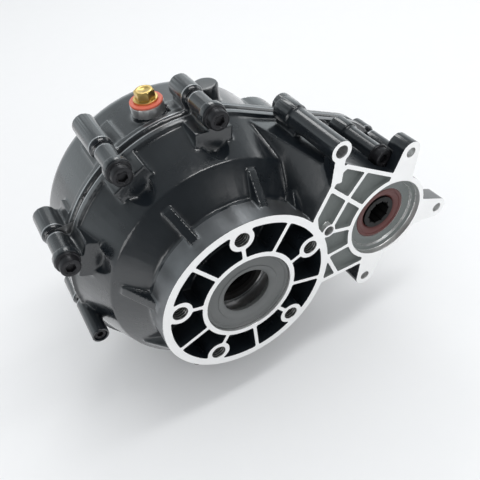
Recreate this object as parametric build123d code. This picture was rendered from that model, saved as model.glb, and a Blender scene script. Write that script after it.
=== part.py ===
from build123d import *
import os
from math import acos, atan2, ceil, cos, degrees, hypot, pi, radians, sin, tan

# Single-speed rear axle gearbox of a light electric vehicle: two cast case halves around
# two spur gear stages and a bevel gear differential.
# The origin is the centre of the front axle flange. The axle runs along +Y, into the case,
# the input shaft lies towards +X, and +Z is up. Lengths are in millimetres.

# Case, along the axle
flange_depth = 20.0
ridge_y = 35.0
parting_y = 75.0
parting_flange = 8.0
gasket_thickness = 1.2
gasket_inset = 1.6
gasket_width = 9.0
drum_end_inset = 11.0
wall = 5.0

# Case, across the axle
ridge_r = 81.0
bell_r = 94.0
parting_lip = 2.5
drum_inset = 3.5
drum_round = 15.0
ridge_round = 3.0
lobe_r = 42.0

# Axle flanges: five tapped bosses and ten windows between hub and rim
flange_r = 61.5
rim_inner_r = 56.0
hub_rim_r = 34.5
window_depth = 17.0
axle_bolt_circle_r = 50.0
axle_bolt_count = 5
axle_hole_r = 5.1
axle_hole_depth = 19.0
axle_boss_r = 8.5
spoke_width = 2.8

# Cone ribs between the ridge and the flange
cone_rib_angles = (43.0, 69.5, 114.5, 161.0, 204.5, 249.5, 294.5)
cone_rib_width = 6.0
cone_rib_foot_y = 4.0
cone_rib_top_r = 76.0
cone_rib_rise = 2.2

# Case bolts: angle of each tower and where its rear end is
bolt_towers = ((81.0, 97.0), (117.0, 111.0), (153.0, 100.0), (252.0, 100.0), (288.0, 100.0))
channel_count = 3
bolt_outset = 8.0
bolt_tube_r = 6.4
bolt_collar_r = 8.2
bolt_collar_length = 5.0
rear_tube_r = 7.8
bolt_seat_y = 49.0
block_half_width = 12.5
block_rise = 1.5
bolt_end_margin = 12.0
channel_r = 92.0
channel_half_width = 10.5
channel_start_y = 36.0

# Slender screw tower at the side
pin_angle = 188.5
pin_circle_r = 95.0
pin_front_y = 38.0
pin_seat_y = 44.0
pin_tube_r = 5.8
pin_rear_tube_r = 6.3
pin_rear_y = 100.0
pin_block_y = 66.0

# Screws: shank, clearance hole, head radius, head height, flange and socket radius
case_screw = (4.0, 4.3, 6.4, 5.5, 7.8, 3.4)
pin_screw = (2.5, 2.7, 4.2, 3.4, 4.2, 2.3)
screw_flange_height = 1.6
socket_depth = 3.0

# Screws round the input shaft, and the tapped boss beside the motor's upper ear
lobe_bolt_angles = (12.0, -62.0)
lobe_bolt_circle_r = 45.0
lobe_bolt_seat_y = 40.0
lobe_rear_boss_y = 92.0
bridge_bolt = (88.0, 64.0)
bridge_bolt_seat_y = 48.0
tapped_boss_angle = 88.0
tapped_boss_front_y = 16.0
tapped_boss_end_y = 60.0
tapped_boss_collar_y = 46.0
dowel_r = 2.5
dowel_length = 16.0
dowel_angles = (135.0, 236.0)
dowel_inset = 4.5

# Shaft centres, seen along the axle
input_x = 111.6
input_z = 5.5
inter_to_axle = 80.0
inter_to_input = 42.0

# Motor flange
register_r = 30.0
register_depth = 7.0
register_step_r = 26.5
register_step_depth = 2.5
motor_ring_r = 33.5
motor_bolt_circle_r = 51.5
motor_bolt_angle = 72.0
motor_hole_r = 3.6
motor_ear_r = 7.8
motor_ear_root_r = 11.0
motor_ear_root_distance = 29.0
motor_ear_depth = 14.0
web_rib_height = 4.0
web_rib_width = 3.0
neck_width = 8.0
neck_depth = 10.0

# Bracket tube beside the motor flange
bracket_x = 71.7
bracket_z = 80.4
bracket_hole_r = 4.3
bracket_tube_r = 7.2
bracket_boss_r = 8.6
bracket_boss_y = 47.0
bracket_end_y = 62.0
bracket_slot_end_y = 40.0
bracket_web_width = 6.0

# Shaft seals
axle_seal_r = 31.0
axle_seal_bore_r = 17.0
axle_seal_width = 8.0
axle_seal_recess = 1.8
input_seal_r = 20.0
input_seal_width = 7.0
seal_lip_clearance = 0.3

# Bearings: bore radius, outer radius, width and the inner face of each
axle_bearing = (22.5, 37.5, 16.0)
inter_bearing = (7.5, 17.5, 11.0)
input_front_bearing = (12.5, 26.0, 15.0)
input_rear_bearing = (8.5, 17.5, 10.0)
ring_gap = 0.3
seat_wall = 4.5
axle_seat_y = 22.0
inter_front_seat_y = 34.0
inter_rear_gap = 5.0
input_front_seat_y = 15.0
input_rear_gap = 1.6

# Motor spline in the input shaft
motor_spline_r = 8.5
motor_spline_length = 42.0
motor_spline_width = 1.2

# Gears
pressure_angle = 20.0
tooth_shift = 0.35
backlash = 0.2
final_module = 2.5
final_pinion_teeth = 13
ring_gear_teeth = 51
first_module = 2.0
input_pinion_teeth = 13
inter_gear_teeth = 29
ring_gear_offset = 19.0
ring_gear_gap = 3.0
ring_gear_width = 20.0
inter_gear_gap = 5.0
inter_gear_width = 16.0
ring_gear_bore_r = 46.0
inter_gear_bore_r = 11.0
key_width = 5.0
key_height = 5.0
shoulder = 2.0

# Differential
diff_hub_gap = 1.0
diff_bore_r = 31.0
diff_wall = 8.0
diff_end_wall = 5.0
diff_hub_bore_r = 18.0
diff_flange_r = 58.0
diff_flange_width = 6.0
oil_window_r = 9.0
ring_bolt_circle_r = 52.5
ring_bolt_count = 8
ring_bolt_r = 4.0
ring_bolt_head = 4.0
cover_screw_circle_r = 38.5
cover_screw_r = 2.5
cover_screw_length = 12.0
cover_screw_head = 2.5
bevel_module = 3.0
side_gear_teeth = 16
planet_teeth = 10
bevel_backlash = 0.3
bevel_face_share = 0.34
tooth_root_bite = 0.3
side_back_length = 6.0
planet_back_length = 4.0
planet_back_r = 10.8
side_gear_bore_r = 12.5
side_hub_end_y = 24.0
spline_teeth = 10
spline_width = 1.6
spline_depth = 1.0
cross_pin_r = 7.0
hub_clearance = 0.05
washer_thickness = 1.0
running_gap = 0.3
roll_pin_r = 2.0
roll_pin_length = 22.0

# Filler and drain plugs
plug_x = -8.0
plug_y = 96.0
plug_boss_r = 11.0
plug_boss_height = 8.0
plug_washer_r = 10.8
plug_washer_thickness = 1.6
plug_thread_r = 7.0
plug_thread_length = 11.0
plug_collar_r = 8.0
plug_collar_height = 1.6
plug_hex_r = 6.6
plug_hex_height = 5.5
drain_x = 0.0
drain_y = 100.0
drain_boss_r = 11.0
drain_boss_height = 4.0
drain_head_r = 9.0
drain_head_height = 5.0
drain_thread_r = 6.0
drain_socket_r = 4.0

# Cast boss for the air vent
vent_x = 34.0
vent_y = 98.0
vent_boss_r = 9.0
vent_boss_height = 4.0
vent_boss_round = 1.5

# Differential, worked out from its gears: the pinions' apex is its centre
side_pitch_r = side_gear_teeth * bevel_module / 2
planet_pitch_r = planet_teeth * bevel_module / 2
side_cone = atan2(side_gear_teeth, planet_teeth)
planet_cone = pi / 2 - side_cone
bevel_addendum = 0.8 * bevel_module
bevel_dedendum = 1.1 * bevel_module
side_back = planet_pitch_r + bevel_dedendum * sin(side_cone) + side_back_length
planet_back = side_pitch_r + bevel_dedendum * sin(planet_cone) + planet_back_length
side_seat = side_back + washer_thickness + running_gap
planet_seat = planet_back + washer_thickness + running_gap
side_hub_r = diff_hub_bore_r - hub_clearance
diff_body_r = planet_seat + diff_wall
hub_shoulder_r = axle_bearing[0] + 4.5
front_bearing_end = axle_seat_y + axle_bearing[2]

# Stations along the axle: the bearings and the differential between them set the length
diff_centre_y = float(ceil(front_bearing_end + diff_hub_gap + diff_end_wall + side_seat))
diff_front_y = diff_centre_y - side_seat - diff_end_wall
cover_y = diff_centre_y + side_seat
cover_end_y = cover_y + diff_end_wall
ring_gear_y = diff_centre_y + ring_gear_offset
ring_gear_end = ring_gear_y + ring_gear_width
flange_front_y = ring_gear_y - diff_flange_width
rear_bearing_y = ring_gear_end + ring_gear_gap
case_length = rear_bearing_y + axle_bearing[2] + axle_seat_y
drum_end_y = case_length - drum_end_inset
front_end_y = parting_y - gasket_thickness / 2
rear_start_y = parting_y + gasket_thickness / 2
floor_y = window_depth + wall
inter_gear_y = inter_front_seat_y + inter_bearing[2] + inter_gear_gap
inter_rear_seat_y = ring_gear_end + inter_rear_gap
input_rear_seat_y = parting_y + input_rear_gap

# Radii round the axle
parting_r = bell_r + parting_lip
drum_r = parting_r - drum_inset
block_outer_r = bell_r + block_rise
bolt_circle_r = parting_r + bolt_outset
dowel_circle_r = parting_r - dowel_inset
seat_outer_r = axle_bearing[1] + seat_wall + 1.5
plug_boss_top = drum_r + plug_boss_height
drain_boss_bottom = drum_r + drain_boss_height
vent_boss_top = drum_r + vent_boss_height

# Shaft centres
axle = (0.0, 0.0)
input_shaft_at = (input_x, input_z)
input_distance = hypot(input_x, input_z)
input_angle = degrees(atan2(input_z, input_x))
inter_lean = degrees(acos((inter_to_axle ** 2 + input_distance ** 2 - inter_to_input ** 2)
                          / (2 * inter_to_axle * input_distance)))
inter_angle = input_angle + inter_lean


def polar(radius, angle, centre=(0.0, 0.0)):
    """Point at a radius and an angle in degrees, seen along the axle: (x, z)."""
    return (centre[0] + radius * cos(radians(angle)), centre[1] + radius * sin(radians(angle)))


inter_shaft_at = polar(inter_to_axle, inter_angle)
bracket_at = (bracket_x, bracket_z)


def slab(sketch, y_start, y_end):
    """Extrude a sketch, drawn in x and z, from one station along the axle to another."""
    return extrude(Plane.XZ.offset(-y_start) * sketch, amount=y_end - y_start, dir=(0, 1, 0))


def disc(centre, radius):
    return Pos(*centre) * Circle(radius)


def rod(centre, radius, y_start, y_end):
    """Round bar along the axle's direction."""
    return slab(disc(centre, radius), y_start, y_end)


def ring(centre, outer_r, inner_r, y_start, y_end):
    return slab(disc(centre, outer_r) - disc(centre, inner_r), y_start, y_end)


def turned(points, centre=(0.0, 0.0)):
    """Turn an outline of (radius, y) points about a line along the axle's direction."""
    return Pos(centre[0], 0, centre[1]) * revolve(Polygon(*points, align=None), Axis.Y)


def belt(first, first_r, second, second_r):
    """Outline of a belt around two discs: two tangent lines and two arcs."""
    reach = hypot(second[0] - first[0], second[1] - first[1])
    along = degrees(atan2(second[1] - first[1], second[0] - first[0]))
    lean = degrees(acos((first_r - second_r) / reach))
    first_high, first_low = polar(first_r, along + lean, first), polar(first_r, along - lean, first)
    high, low = polar(second_r, along + lean, second), polar(second_r, along - lean, second)
    return make_face([Line(first_high, high),
                      ThreePointArc(high, polar(second_r, along, second), low),
                      Line(low, first_low),
                      ThreePointArc(first_low, polar(-first_r, along, first), first_high)])


def bar(start, end, width):
    """Straight bar between two points, as a sketch."""
    middle = ((start[0] + end[0]) / 2, (start[1] + end[1]) / 2)
    angle = degrees(atan2(end[1] - start[1], end[0] - start[0]))
    reach = hypot(end[0] - start[0], end[1] - start[1])
    return Pos(*middle) * Rot(0, 0, angle) * Rectangle(reach, width)


def radial_block(angle, inner_r, outer_r, width):
    return bar(polar(inner_r, angle), polar(outer_r, angle), width)


def mirrored(part):
    """The same form at the other end of the case."""
    return part.mirror(Plane.XZ.offset(-case_length / 2))


def flange_windows():
    """The ten windows between the hub and the rim of an axle flange."""
    windows = Circle(rim_inner_r) - Circle(hub_rim_r)
    for number in range(2 * axle_bolt_count):
        angle = 90 + number * 180 / axle_bolt_count
        windows -= radial_block(angle, hub_rim_r - wall, rim_inner_r + wall, spoke_width)
    for number in range(axle_bolt_count):
        windows -= disc(polar(axle_bolt_circle_r, 90 + number * 360 / axle_bolt_count), axle_boss_r)
    return slab(windows, 0, window_depth)


def axle_openings():
    """Windows, tapped holes, seal bore, shaft passage and bearing seat of one axle flange."""
    cuts = flange_windows()
    for number in range(axle_bolt_count):
        centre = polar(axle_bolt_circle_r, 90 + number * 360 / axle_bolt_count)
        cuts += rod(centre, axle_hole_r, 0, axle_hole_depth)
    cuts += rod(axle, axle_seal_r, 0, axle_seal_recess + axle_seal_width)
    cuts += rod(axle, axle_seal_r - wall, 0, axle_seat_y)
    cuts += rod(axle, axle_bearing[1], axle_seat_y, axle_seat_y + axle_bearing[2] + 1)
    return cuts


# Front case half
bracket_foot = (65.0, 67.0)
neck_foot = (68.0, 58.0)
web_left = (51.0, 37.5)
web_neck = (69.0, 65.5)
web_shoulder = (76.0, 69.5)
web_foot = (55.0, -25.0)
chord_angle = 57.0
foot_angle = -98.0


def web_outline(inset):
    """Outline of the web and motor ring, as a closed face of four lines and an arc."""
    top = polar(motor_ring_r, chord_angle, input_shaft_at)
    low = polar(motor_ring_r, foot_angle, input_shaft_at)
    end = polar(motor_ring_r, (chord_angle + foot_angle) / 2, input_shaft_at)
    lines = [Line(web_foot, web_left), Line(web_left, web_neck), Line(web_neck, web_shoulder),
             Line(web_shoulder, top), ThreePointArc(top, end, low), Line(low, web_foot)]
    face = make_face(lines)
    return offset(face, amount=-inset, kind=Kind.INTERSECTION) if inset else face


def lobe_outline(inset):
    """Outline of the case behind the web at the parting plane, with the web's six edges."""
    lean = degrees(acos((parting_r - lobe_r) / input_distance))
    inner_r = parting_r - 3
    outer_r = lobe_r - 3
    high = input_angle + lean
    low = input_angle - lean
    top = polar(outer_r, high, input_shaft_at)
    bottom = polar(outer_r, low, input_shaft_at)
    start = polar(inner_r, high)
    share = 0.3
    shoulder = (start[0] + share * (top[0] - start[0]), start[1] + share * (top[1] - start[1]))
    lines = [Line(polar(inner_r, low), polar(inner_r / 2, high)), Line(polar(inner_r / 2, high), start),
             Line(start, shoulder), Line(shoulder, top),
             ThreePointArc(top, polar(outer_r, input_angle, input_shaft_at), bottom),
             Line(bottom, polar(inner_r, low))]
    face = make_face(lines)
    return offset(face, amount=-inset, kind=Kind.INTERSECTION) if inset else face


def lobe_body(inset, y_start, y_end):
    """Block behind the web, widening from the web's outline to the parting flange."""
    front = Plane.XZ.offset(-y_start) * web_outline(inset)
    back = Plane.XZ.offset(-y_end) * lobe_outline(inset)
    return loft([front.faces()[0], back.faces()[0]], ruled=True)


def web_windows():
    """Shallow pockets between the rim and the machined ribs of the web."""
    crossing = (78.0, 42.0)
    knot = (62.5, 20.0)
    ribs = [bar((62.0, 58.0), polar(register_r, 135, input_shaft_at), web_rib_width),
            bar((93.0, 58.0), crossing, web_rib_width),
            bar(crossing, knot, web_rib_width),
            bar(knot, polar(register_r, 164, input_shaft_at), web_rib_width),
            bar((58.0, -2.0), polar(register_r, 193, input_shaft_at), web_rib_width),
            bar((61.0, -2.0), (70.0, -26.0), web_rib_width)]
    pad = polar(motor_bolt_circle_r, motor_bolt_angle + 90, input_shaft_at)
    windows = web_outline(web_rib_width) - Circle(flange_r) - disc(input_shaft_at, motor_ring_r)
    for rib in ribs:
        windows -= rib
    return slab(windows - disc(pad, 5.0), 0, web_rib_height)


def motor_ears():
    """Three lugs with the motor's bolt holes, on the ring round the register."""
    ears = []
    for quarter in (0, -1, -2):
        angle = motor_bolt_angle + 90 * quarter
        root = polar(motor_ear_root_distance, angle, input_shaft_at)
        eye = polar(motor_bolt_circle_r, angle, input_shaft_at)
        ears.append(slab(belt(root, motor_ear_root_r, eye, motor_ear_r), 0, motor_ear_depth))
    return ears


def cone_rib(angle):
    """Gusset that fills the corner between the cone and the flange."""
    corner_r = flange_r - wall / 2
    slope = (ridge_y - flange_depth) / (ridge_r - flange_r)
    cone_y = flange_depth + slope * (cone_rib_top_r - flange_r)
    profile = Polygon((corner_r, cone_rib_foot_y), (cone_rib_top_r, cone_y - cone_rib_rise),
                      (cone_rib_top_r, cone_y + wall / 2), (corner_r, flange_depth + wall / 2),
                      align=None)
    plate = extrude(profile, amount=cone_rib_width / 2, both=True)
    return Rot(0, -angle, 0) * plate


def bolt_tower(circle_r, angle, tube_r, y_start, block_y, y_end):
    """Screw tube, tied to the shell by a neck and by a wider block flush with the shell."""
    neck = radial_block(angle, bell_r - 3 * wall, circle_r, 2 * tube_r - wall)
    block = radial_block(angle, bell_r - 3 * wall, block_outer_r, 2 * block_half_width)
    return rod(polar(circle_r, angle), tube_r, y_start, y_end) + slab(neck + block, block_y, y_end)


def lug(centre, towards, tube_r, y_start, y_end):
    """Round boss beside the shell, with a neck of its own width towards a shaft."""
    angle = degrees(atan2(towards[1] - centre[1], towards[0] - centre[0]))
    neck = bar(centre, polar(tube_r + wall, angle, centre), 2 * tube_r - wall)
    return slab(disc(centre, tube_r) + neck, y_start, y_end)


def bell_shell():
    """Outside of the front half around the axle: flange, cone, ridge and panel."""
    points = [(0, 0), (flange_r, 0), (flange_r, flange_depth), (ridge_r, ridge_y),
              (bell_r, parting_y - parting_flange - 1), (bell_r, front_end_y), (0, front_end_y)]
    outline = Polygon(*points, align=None)
    ridge = outline.vertices().sort_by_distance((ridge_r, ridge_y, 0))[0]
    outline = fillet(ridge, ridge_round)
    return revolve(outline, Axis.Y)


def front_cavity():
    """Space for the gears in the front half."""
    points = [(seat_outer_r, floor_y), (rim_inner_r, floor_y), (ridge_r - wall, ridge_y + 2),
              (bell_r - wall - 1, parting_y - parting_flange), (bell_r - wall - 1, parting_y),
              (0, parting_y), (0, axle_seat_y + axle_bearing[2]),
              (seat_outer_r, axle_seat_y + axle_bearing[2])]
    cavity = turned(points)
    for angle, rear_end in bolt_towers[:channel_count]:
        cavity -= slab(disc(polar(channel_r, angle), channel_half_width + wall), 0,
                       bolt_seat_y + wall)
    lobe = lobe_body(wall, 0, front_end_y)
    lobe -= slab(Rectangle(6 * bell_r, 6 * bell_r), 0, web_rib_height + wall)
    lobe -= rod(input_shaft_at, input_front_bearing[1] + seat_wall, 0,
                input_front_seat_y + input_front_bearing[2])
    lobe -= rod(inter_shaft_at, inter_bearing[1] + seat_wall, 0,
                inter_front_seat_y + inter_bearing[2])
    lobe -= rod(axle, flange_r, 0, floor_y)
    lobe -= rod(axle, seat_outer_r, 0, axle_seat_y + axle_bearing[2])
    return cavity + lobe


def motor_openings():
    """Register, seal bore, bearing seats and holes on the motor side."""
    seal_end = register_depth + input_seal_width
    cuts = rod(input_shaft_at, register_r, 0, register_depth - register_step_depth)
    cuts += rod(input_shaft_at, register_step_r, 0, register_depth)
    cuts += rod(input_shaft_at, input_seal_r, register_depth, seal_end)
    cuts += rod(input_shaft_at, input_seal_r - 2, seal_end, input_front_seat_y)
    cuts += rod(input_shaft_at, input_front_bearing[1], input_front_seat_y,
                input_front_seat_y + input_front_bearing[2] + wall)
    cuts += rod(inter_shaft_at, inter_bearing[1], inter_front_seat_y,
                inter_front_seat_y + inter_bearing[2] + wall)
    for quarter in range(4):
        eye = polar(motor_bolt_circle_r, motor_bolt_angle - 90 * quarter, input_shaft_at)
        cuts += rod(eye, motor_hole_r, 0, motor_ear_depth)
    cuts += rod(bracket_at, bracket_hole_r, 0, bracket_end_y)
    return cuts


def lobe_bolts():
    """Screws beside the intermediate and input shafts: centre, seat station and shaft."""
    places = [(polar(lobe_bolt_circle_r, angle, input_shaft_at), lobe_bolt_seat_y, input_shaft_at)
              for angle in lobe_bolt_angles]
    return places + [(bridge_bolt, bridge_bolt_seat_y, inter_shaft_at)]


def bolt_places():
    """Every screw that joins the halves: its centre, seat station, rear end and size."""
    places = [(polar(bolt_circle_r, angle), bolt_seat_y, end_y, case_screw)
              for angle, end_y in bolt_towers]
    places.append((polar(pin_circle_r, pin_angle), pin_seat_y, pin_rear_y, pin_screw))
    return places + [(centre, seat_y, lobe_rear_boss_y, case_screw)
                     for centre, seat_y, towards in lobe_bolts()]


def tapped_boss_place():
    """Screw in the front half's own boss: its centre, seat station, end and size."""
    centre = polar(lobe_bolt_circle_r, tapped_boss_angle, input_shaft_at)
    return centre, tapped_boss_front_y, tapped_boss_end_y, case_screw


def dowel_places():
    return [polar(dowel_circle_r, angle) for angle in dowel_angles]


def build_front_housing():
    body = bell_shell()
    body += lobe_body(0, 0, front_end_y)
    body += slab(belt(axle, parting_r, input_shaft_at, lobe_r), parting_y - parting_flange,
                 front_end_y)
    body -= web_windows()
    for ear in motor_ears():
        body += ear
    for angle in cone_rib_angles:
        body += cone_rib(angle)
    for angle, rear_end in bolt_towers:
        body += bolt_tower(bolt_circle_r, angle, bolt_tube_r, bolt_seat_y, bolt_seat_y, front_end_y)
        body += rod(polar(bolt_circle_r, angle), bolt_collar_r, bolt_seat_y,
                    bolt_seat_y + bolt_collar_length)
    body += bolt_tower(pin_circle_r, pin_angle, pin_tube_r, pin_front_y, pin_block_y, front_end_y)
    for place, seat_y, towards in lobe_bolts():
        body += lug(place, towards, bolt_tube_r, seat_y, front_end_y)
    centre, front_y, end_y, size = tapped_boss_place()
    body += lug(centre, input_shaft_at, bolt_tube_r, front_y, end_y)
    body += rod(centre, rear_tube_r, tapped_boss_collar_y, end_y)
    body += rod(bracket_at, bracket_tube_r, 0, bracket_end_y)
    body += rod(bracket_at, bracket_boss_r, bracket_boss_y, bracket_end_y)
    body += slab(bar(bracket_at, bracket_foot, bracket_web_width), bracket_slot_end_y, bracket_end_y)
    body += slab(bar(bracket_at, neck_foot, neck_width), 0, neck_depth)
    for angle, rear_end in bolt_towers[:channel_count]:
        body -= rod(polar(channel_r, angle), channel_half_width, channel_start_y, bolt_seat_y)
    body -= front_cavity()
    body -= axle_openings()
    body -= motor_openings()
    for place in bolt_places():
        body -= screw_hole(*place)
    body -= rod(centre, size[0], front_y, end_y - bolt_end_margin / 2)
    body -= head_room(centre, front_y, size)
    for place in dowel_places():
        body -= rod(place, dowel_r, parting_y - dowel_length / 2, parting_y)
    return body


def head_room(centre, seat_y, size):
    """Space for a screw's head in front of its seat."""
    shank_r, hole_r, head_r, head_height, flange_size, socket_r = size
    return rod(centre, flange_size + ring_gap, seat_y - screw_flange_height - head_height - 1, seat_y)


def screw_hole(centre, seat_y, end_y, size):
    """Clearance hole through the front half, with room for the head."""
    return rod(centre, size[1], seat_y, parting_y) + head_room(centre, seat_y, size)


def drum_shell():
    """Outside of the rear half around the axle."""
    points = [(0, rear_start_y), (drum_r, rear_start_y), (drum_r, drum_end_y),
              (flange_r, drum_end_y + 2), (flange_r, case_length), (0, case_length)]
    outline = Polygon(*points, align=None)
    shoulder = outline.vertices().sort_by_distance((drum_r, drum_end_y, 0))[0]
    return revolve(fillet(shoulder, drum_round), Axis.Y)


def rear_cavity():
    """Space for the gears in the rear half."""
    end_y = case_length - floor_y
    seat_y = case_length - axle_seat_y - axle_bearing[2]
    points = [(0, parting_y), (drum_r - wall, parting_y), (drum_r - wall, drum_end_y - drum_round),
              (drum_r - wall - drum_round / 2, end_y), (seat_outer_r, end_y),
              (seat_outer_r, seat_y), (0, seat_y)]
    cavity = turned(points)
    pinion_room = inter_bearing[1] + seat_wall + 1
    cavity += slab(belt(axle, drum_r - 6 * wall, inter_shaft_at, pinion_room), parting_y,
                   inter_rear_seat_y)
    cavity -= rod(input_shaft_at, input_rear_bearing[1] + seat_wall - 1, 0, case_length)
    cavity -= rod(axle, seat_outer_r, seat_y, case_length)
    return cavity


def build_rear_housing():
    body = drum_shell()
    flange_end = parting_y + parting_flange
    body += slab(belt(axle, parting_r, input_shaft_at, lobe_r), rear_start_y, flange_end)
    inter_boss_r = inter_bearing[1] + seat_wall + 1 + wall
    inter_end_y = inter_rear_seat_y + inter_bearing[2] + wall
    body += slab(belt(axle, drum_r - 5 * wall, inter_shaft_at, inter_boss_r), rear_start_y,
                 inter_end_y)
    input_boss_r = input_rear_bearing[1] + seat_wall + 1
    input_end_y = input_rear_seat_y + input_rear_bearing[2] + wall
    body += slab(belt(inter_shaft_at, inter_boss_r - wall, input_shaft_at, input_boss_r),
                 rear_start_y, input_end_y)
    for angle, end_y in bolt_towers:
        body += bolt_tower(bolt_circle_r, angle, rear_tube_r, rear_start_y, rear_start_y, end_y)
    body += bolt_tower(pin_circle_r, pin_angle, pin_rear_tube_r, rear_start_y, rear_start_y,
                       pin_rear_y)
    for centre, seat_y, towards in lobe_bolts():
        body += lug(centre, towards, rear_tube_r, rear_start_y, lobe_rear_boss_y)
    vent = Pos(vent_x, vent_y, vent_boss_top / 2) * Cylinder(vent_boss_r, vent_boss_top)
    body += fillet(vent.edges().sort_by(Axis.Z)[-1], vent_boss_round)
    body += Pos(plug_x, plug_y, plug_boss_top / 2) * Cylinder(plug_boss_r, plug_boss_top)
    body += Pos(drain_x, drain_y, -drain_boss_bottom / 2) * Cylinder(drain_boss_r, drain_boss_bottom)
    for angle in cone_rib_angles:
        profile = Polygon((flange_r - 2, drum_end_y - 3), (drum_r - drum_round, drum_end_y - 3),
                          (flange_r - 2, case_length - 3), align=None)
        body += Rot(0, -angle, 0) * extrude(profile, amount=cone_rib_width / 2, both=True)
    body -= rear_cavity()
    body -= mirrored(axle_openings())
    body -= rod(inter_shaft_at, inter_bearing[1], inter_rear_seat_y - 1,
                inter_rear_seat_y + inter_bearing[2])
    body -= rod(input_shaft_at, input_rear_bearing[1], parting_y,
                input_rear_seat_y + input_rear_bearing[2])
    for centre, seat_y, end_y, size in bolt_places():
        body -= rod(centre, size[0], parting_y, end_y - bolt_end_margin / 2)
    for centre in dowel_places():
        body -= rod(centre, dowel_r, parting_y, parting_y + dowel_length / 2)
    body -= Pos(plug_x, plug_y, plug_boss_top) * Cylinder(plug_thread_r, 2 * plug_boss_r)
    body -= Pos(drain_x, drain_y, -drain_boss_bottom) * Cylinder(drain_thread_r, 2 * drain_boss_r)
    return body


def build_gasket():
    """Flat gasket between the halves, a little inside the flange's edge."""
    sheet = belt(axle, parting_r - gasket_inset, input_shaft_at, lobe_r - gasket_inset)
    sheet -= Circle(parting_r - gasket_width)
    sheet -= belt(axle, drum_r - 6 * wall, inter_shaft_at, inter_bearing[1] + seat_wall + 1)
    sheet -= disc(input_shaft_at, input_rear_bearing[1] + 1)
    for centre, seat_y, end_y, size in bolt_places():
        sheet -= disc(centre, size[1])
    for centre in dowel_places():
        sheet -= disc(centre, dowel_r)
    return slab(sheet, front_end_y, rear_start_y)


def case_bolt(centre, seat_y, end_y, size):
    """Socket screw with a flange under its head, which faces the front."""
    shank_r, hole_r, head_r, head_height, flange_size, socket_r = size
    under_head_y = seat_y - screw_flange_height
    head_y = under_head_y - head_height
    body = rod(centre, head_r, head_y, under_head_y)
    body += rod(centre, flange_size, under_head_y, seat_y)
    body += rod(centre, shank_r, seat_y, end_y - bolt_end_margin)
    socket = Pos(*centre) * RegularPolygon(socket_r, 6)
    return body - slab(socket, head_y, head_y + socket_depth)


def build_case_bolts():
    return group([case_bolt(*place) for place in bolt_places() + [tapped_boss_place()]])


def build_dowels():
    return group([rod(centre, dowel_r, parting_y - dowel_length / 2, parting_y + dowel_length / 2)
                  for centre in dowel_places()])


# Seals and bearings
def build_seal(centre, outer_r, lip_r, y_start, width):
    """Shaft seal: a pressed ring with a flexible lip that leans inwards."""
    lip = width * 0.35
    points = [(outer_r, 0), (outer_r, width), (outer_r - 2, width), (outer_r - 2, lip + 1),
              (lip_r + 2, lip + 1), (lip_r, width - 1), (lip_r, lip), (lip_r + 3, 0.6)]
    return turned([(radius, y_start + y) for radius, y in points], centre)


def outer_ring(bearing, centre, y_start):
    bore_r, outside_r, width = bearing
    middle_r = (bore_r + outside_r) / 2
    return ring(centre, outside_r, middle_r + ring_gap / 2, y_start, y_start + width)


def inner_ring(bearing, centre, y_start):
    bore_r, outside_r, width = bearing
    middle_r = (bore_r + outside_r) / 2
    return ring(centre, middle_r - ring_gap / 2, bore_r, y_start, y_start + width)


# Gears
def involute(angle):
    return tan(angle) - angle


def tooth_half_angle(radius, pitch_r, thickness):
    """Half the angle that a tooth covers at a radius, for an involute flank."""
    alpha = radians(pressure_angle)
    base_r = pitch_r * cos(alpha)
    here = acos(base_r / radius) if radius > base_r else 0.0
    return thickness / (2 * pitch_r) + involute(alpha) - involute(here)


def gear_outline(teeth, module, shift, first_tooth_angle):
    """Involute outline with chords along the flanks. The first tooth points at the angle."""
    pitch_r = teeth * module / 2
    base_r = pitch_r * cos(radians(pressure_angle))
    tip_r = pitch_r + module * (1 + shift)
    root_r = pitch_r - module * (1.25 - shift)
    thickness = module * (pi / 2 + 2 * shift * tan(radians(pressure_angle))) - backlash
    start_r = max(root_r, base_r)
    levels = [start_r, (start_r + tip_r) / 2, tip_r]
    if root_r < base_r - 0.1:
        levels.insert(0, root_r)
    points = []
    for tooth in range(teeth):
        centre = radians(first_tooth_angle) + 2 * pi * tooth / teeth
        half = [tooth_half_angle(level, pitch_r, thickness) for level in levels]
        right = [(level, centre - spread) for level, spread in zip(levels, half)]
        left = [(level, centre + spread) for level, spread in zip(levels, half)]
        points += right + left[::-1]
    return Polygon(*[(r * cos(a), r * sin(a)) for r, a in points], align=None)


def spur(centre, teeth, module, shift, first_tooth_angle, y_start, width):
    outline = gear_outline(teeth, module, shift, first_tooth_angle)
    return slab(Pos(*centre) * outline, y_start, y_start + width)


def gap_towards(teeth, angle):
    """Angle for the first tooth that leaves a gap pointing at the given angle."""
    return angle + 180 / teeth


def build_ring_gear():
    body = spur(axle, ring_gear_teeth, final_module, -tooth_shift,
                gap_towards(ring_gear_teeth, inter_angle), ring_gear_y, ring_gear_width)
    body -= rod(axle, ring_gear_bore_r, ring_gear_y, ring_gear_y + ring_gear_width)
    for number in range(ring_bolt_count):
        centre = polar(ring_bolt_circle_r, number * 360 / ring_bolt_count)
        body -= rod(centre, ring_bolt_r, ring_gear_y, ring_gear_y + ring_gear_width * 0.7)
    return body


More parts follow.
